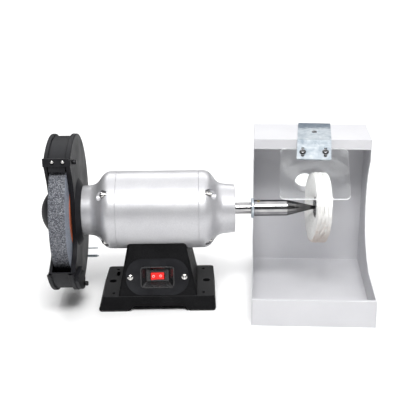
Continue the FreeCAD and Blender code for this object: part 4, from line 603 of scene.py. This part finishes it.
for node, edge in {
    "base_casting": 1.2,
    "motor_barrel": 0.25,
    "end_bell_left": 0.5,
    "end_bell_right": 0.5,
    "tie_bolts": 0.3,
    "tie_bolt_nuts": 0.3,
    "guard_inner_plate": 0.35,
    "guard_outer_cover": 0.35,
    "guard_band": 0.3,
    "guard_flange": 0.3,
    "guard_sheet_screws": 0.15,
    "tongue_plate": 0.3,
    "tongue_screws": 0.15,
    "rest_bracket": 0.6,
    "rest_bolt": 0.15,
    "rest_knob": 0.3,
    "top_knob": 0.3,
    "grinding_wheel": 0.6,
    "spindle_washer": 0.3,
    "spindle_set_screw": 0.15,
    "switch_plate": 0.2,
    "switch_plate_screws": 0.2,
    "switch_body": 0.25,
    "switch_rocker": 0.35,
    "hood_top": 0.4,
    "hood_left_side": 0.25,
    "hood_right_side": 0.25,
    "hood_tray": 0.4,
    "hood_back": 0.3,
    "duct_spigot": 0.25,
    "shield_bracket": 0.4,
    "bracket_screw": 0.15,
    "shield_fasteners": 0.15,
}.items():
    dressed(node, edge)
dressed("switch_bezel", 0.6, flat=0.0, segments=3, angle=40.0)
dressed("spindle", 0.15, angle=40.0, smooth=9.0)


# Clear shield: clear faces, milky cut edge

def shield():
    """The clear sheet, with its cut edge as a piece of its own finish."""
    panel = dressed("shield_panel", 1.0)
    across = max(panel.data.polygons, key=lambda face: face.area).normal.copy()
    only(panel)
    for face in panel.data.polygons:
        face.select = abs(face.normal.dot(across)) < 0.9
    bpy.ops.object.mode_set(mode="EDIT")
    bpy.ops.mesh.separate(type="SELECTED")
    bpy.ops.object.mode_set(mode="OBJECT")
    rim = [item for item in bpy.context.selected_objects if item is not panel][0]
    rim.name = "shield_cut_edge"
    dress(rim, "shield_panel")
    rim.data.materials.clear()
    rim.data.materials.append(sawn_acrylic())


# Cloth buff: a stack of round cotton layers between two leather discs

BUFF_PLACE = Vector((228.1, 0.0, AXIS_HEIGHT))
BUFF_TURN = Matrix.Rotation(math.radians(3.6), 3, "Z") @ Matrix.Rotation(math.radians(2.5), 3, "Y")
BUFF_RADIUS = 49.0
BUFF_HALF = 9.9
BUFF_HUB = 14.6


def buff_point(along, radius, angle):
    """A place on the buff, in metres, from millimetres along its axis and out from it."""
    local = Vector((along, -radius * math.cos(angle), radius * math.sin(angle)))
    return (BUFF_PLACE + BUFF_TURN @ local) * MM


def spread(radius):
    """Half the buff's thickness at a radius: pressed flat at the hub, loose at the rim."""
    share = min(max((radius - BUFF_HUB) / 27.0, 0.0), 1.0)
    share = share * (1.6 - 0.6 * share)
    return 2.7 + (1.2 if radius > BUFF_HUB + 0.5 else 0.0) + (BUFF_HALF - 3.9) * share


def ripple(angle, radius, phase, waves):
    """A soft wave in a layer; it grows towards the free rim."""
    looseness = max((radius - 18.0) / 31.0, 0.0) ** 1.5
    height = 0.0
    for number, (count, size) in enumerate(waves, 1):
        height += size * math.sin(count * angle + phase * number)
    return looseness * height


def cloth_layers(count=24, around=112):
    chance = random.Random(7)
    rings = [2.3, 14.0, 15.4, 20.0, 26.0, 32.0, 37.5, 42.5, 46.0, 48.0, BUFF_RADIUS]
    layers = []
    for number in range(count):
        share = 2.0 * number / (count - 1) - 1.0
        bpy.ops.object.select_all(action="DESELECT")
        bpy.ops.mesh.primitive_circle_add(vertices=around, radius=rings[0] * MM)
        layer = bpy.context.object
        bpy.ops.object.mode_set(mode="EDIT")
        bpy.ops.mesh.select_all(action="SELECT")
        for inner, outer in zip(rings, rings[1:]):
            bpy.ops.mesh.extrude_edges_move()
            growth = outer / inner
            bpy.ops.transform.resize(value=(growth, growth, 1.0), center_override=(0.0, 0.0, 0.0))
        bpy.ops.object.mode_set(mode="OBJECT")
        phase = chance.uniform(0, 6.28)
        waves = [(3, 0.22), (7, 0.16), (13, 0.12)]
        reach = chance.gauss(0.0, 0.25) - 0.9 * max(abs(share) - 0.86, 0.0) / 0.14
        frays = [chance.gauss(0.0, 0.22) for _ in range(around)]
        for vertex in layer.data.vertices:
            radius = vertex.co.xy.length / MM
            angle = math.atan2(vertex.co.y, vertex.co.x)
            index = int(round(angle / (2 * math.pi) * around)) % around
            along = share * spread(radius) + ripple(angle, radius, phase, waves)
            loose = max((radius - 40.0) / 9.0, 0.0)
            ragged = 0.70 * math.sin(5 * angle + 1.3)
            ragged += 0.55 * math.sin(11 * angle + phase * 0.3)
            ragged += frays[index]
            vertex.co = buff_point(along, radius + loose * (ragged + reach), angle)
        layers.append(layer)
    bpy.ops.object.select_all(action="DESELECT")
    for layer in layers:
        layer.select_set(True)
    bpy.context.view_layer.objects.active = layers[0]
    bpy.ops.object.join()
    stack = bpy.context.object
    stack.name = "buff_cloth_layers"
    thick = stack.modifiers.new("cloth", "SOLIDIFY")
    thick.thickness = 0.74 * MM
    thick.offset = 0.0
    apply_all(stack)
    bpy.ops.object.shade_smooth_by_angle(angle=math.radians(50))
    return dress(stack, "buff_wheel")


def threads(name, strands, thickness):
    """Many short threads as one mesh; each strand is a list of points in metres."""
    line = bpy.data.curves.new(name, "CURVE")
    line.dimensions = "3D"
    line.bevel_depth = thickness * MM
    line.bevel_resolution = 0
    for points in strands:
        spline = line.splines.new("POLY")
        spline.points.add(len(points) - 1)
        for place, point in zip(spline.points, points):
            place.co = (*point, 1.0)
    piece = bpy.data.objects.new(name, line)
    bpy.context.collection.objects.link(piece)
    only(piece)
    bpy.ops.object.convert(target="MESH")
    piece = bpy.context.object
    bpy.ops.object.shade_smooth()
    return dress(piece, "buff_wheel")


def buff_fringe(count=620):
    """Loose thread ends round the rim and a few on the faces."""
    chance = random.Random(23)
    strands = []
    for _ in range(count):
        angle = chance.uniform(0, 2 * math.pi)
        along = chance.uniform(-1.0, 1.0) * BUFF_HALF
        start = BUFF_RADIUS - chance.uniform(0.3, 1.6)
        length = chance.uniform(0.9, 2.6) if chance.random() < 0.88 else chance.uniform(2.6, 4.4)
        sweep = chance.gauss(0.0, 0.5)
        drift = chance.gauss(0.0, 0.8) + 0.25 * along / BUFF_HALF
        points = []
        for step in range(4):
            share = step / 3.0
            points.append(buff_point(
                along + drift * share * share * length * 0.4,
                start + length * share * (1.0 - 0.25 * abs(sweep) * share),
                angle + sweep * share * share * length / BUFF_RADIUS))
        strands.append(points)
    return threads("buff_fringe", strands, 0.11)


def buff_stitches():
    """Two rounds of stitches through all the layers, seen on both faces."""
    strands = []
    for radius in (22.5, 33.0):
        total = int(round(2 * math.pi * radius / 5.2))
        for face in (-1, 1):
            for number in range(total):
                middle = 2 * math.pi * number / total
                half = 1.55 / radius
                above = spread(radius) + 0.42
                points = []
                for share, lift in ((-1.0, -0.5), (-0.75, 0.1), (0.0, 0.28), (0.75, 0.1), (1.0, -0.5)):
                    points.append(buff_point(face * (above + lift), radius, middle + share * half))
                strands.append(points)
    return threads("buff_stitches", strands, 0.26)


def hub_lint():
    """Cotton lint caught on the leather discs."""
    chance = random.Random(5)
    strands = []
    for _ in range(46):
        angle = chance.uniform(0, 2 * math.pi)
        radius = chance.uniform(5.0, BUFF_HUB)
        face = chance.choice((-1, 1))
        points = []
        for step in range(4):
            points.append(buff_point(
                face * (4.5 + 0.25 * math.sin(step * 1.1)),
                radius + step * chance.uniform(-0.7, 0.9),
                angle + step * chance.uniform(-0.05, 0.09)))
        strands.append(points)
    return threads("hub_lint", strands, 0.16)


shield()
cloth_layers()
buff_fringe()
buff_stitches()
hub_lint()
dressed("buff_discs", 0.3)


# Rocker marks

def rocker_rings():
    """A small pale ring on each half of the rocker."""
    pale = moulded("pale_mark", (0.80, 0.66, 0.64), 0.5)
    face_rise = 76.8
    face_run = 9.2
    face_foot = 23.2
    switch_height = 51.5
    lean = math.atan2(face_run, face_rise)
    out = 51.7 - (switch_height - face_foot) / face_rise * face_run
    centre = Matrix.Translation((-0.8 * MM, -out * MM, switch_height * MM))
    face = centre @ Matrix.Rotation(math.pi / 2 - lean, 4, "X")
    for x, height, slope in ((-5.6, -2.96, 0.212), (4.3, -4.39, 0.054)):
        bpy.ops.object.select_all(action="DESELECT")
        bpy.ops.mesh.primitive_torus_add(
            major_segments=32, minor_segments=8, major_radius=1.55 * MM, minor_radius=0.28 * MM)
        mark = bpy.context.object
        mark.name = "rocker_mark"
        spot = Matrix.Translation((x * MM, 0.0, height * MM)) @ Matrix.Rotation(slope, 4, "Y")
        mark.data.transform(face @ spot)
        bpy.ops.object.shade_smooth()
        dress(mark, "switch_rocker")
        mark.data.materials.clear()
        mark.data.materials.append(pale)


rocker_rings()
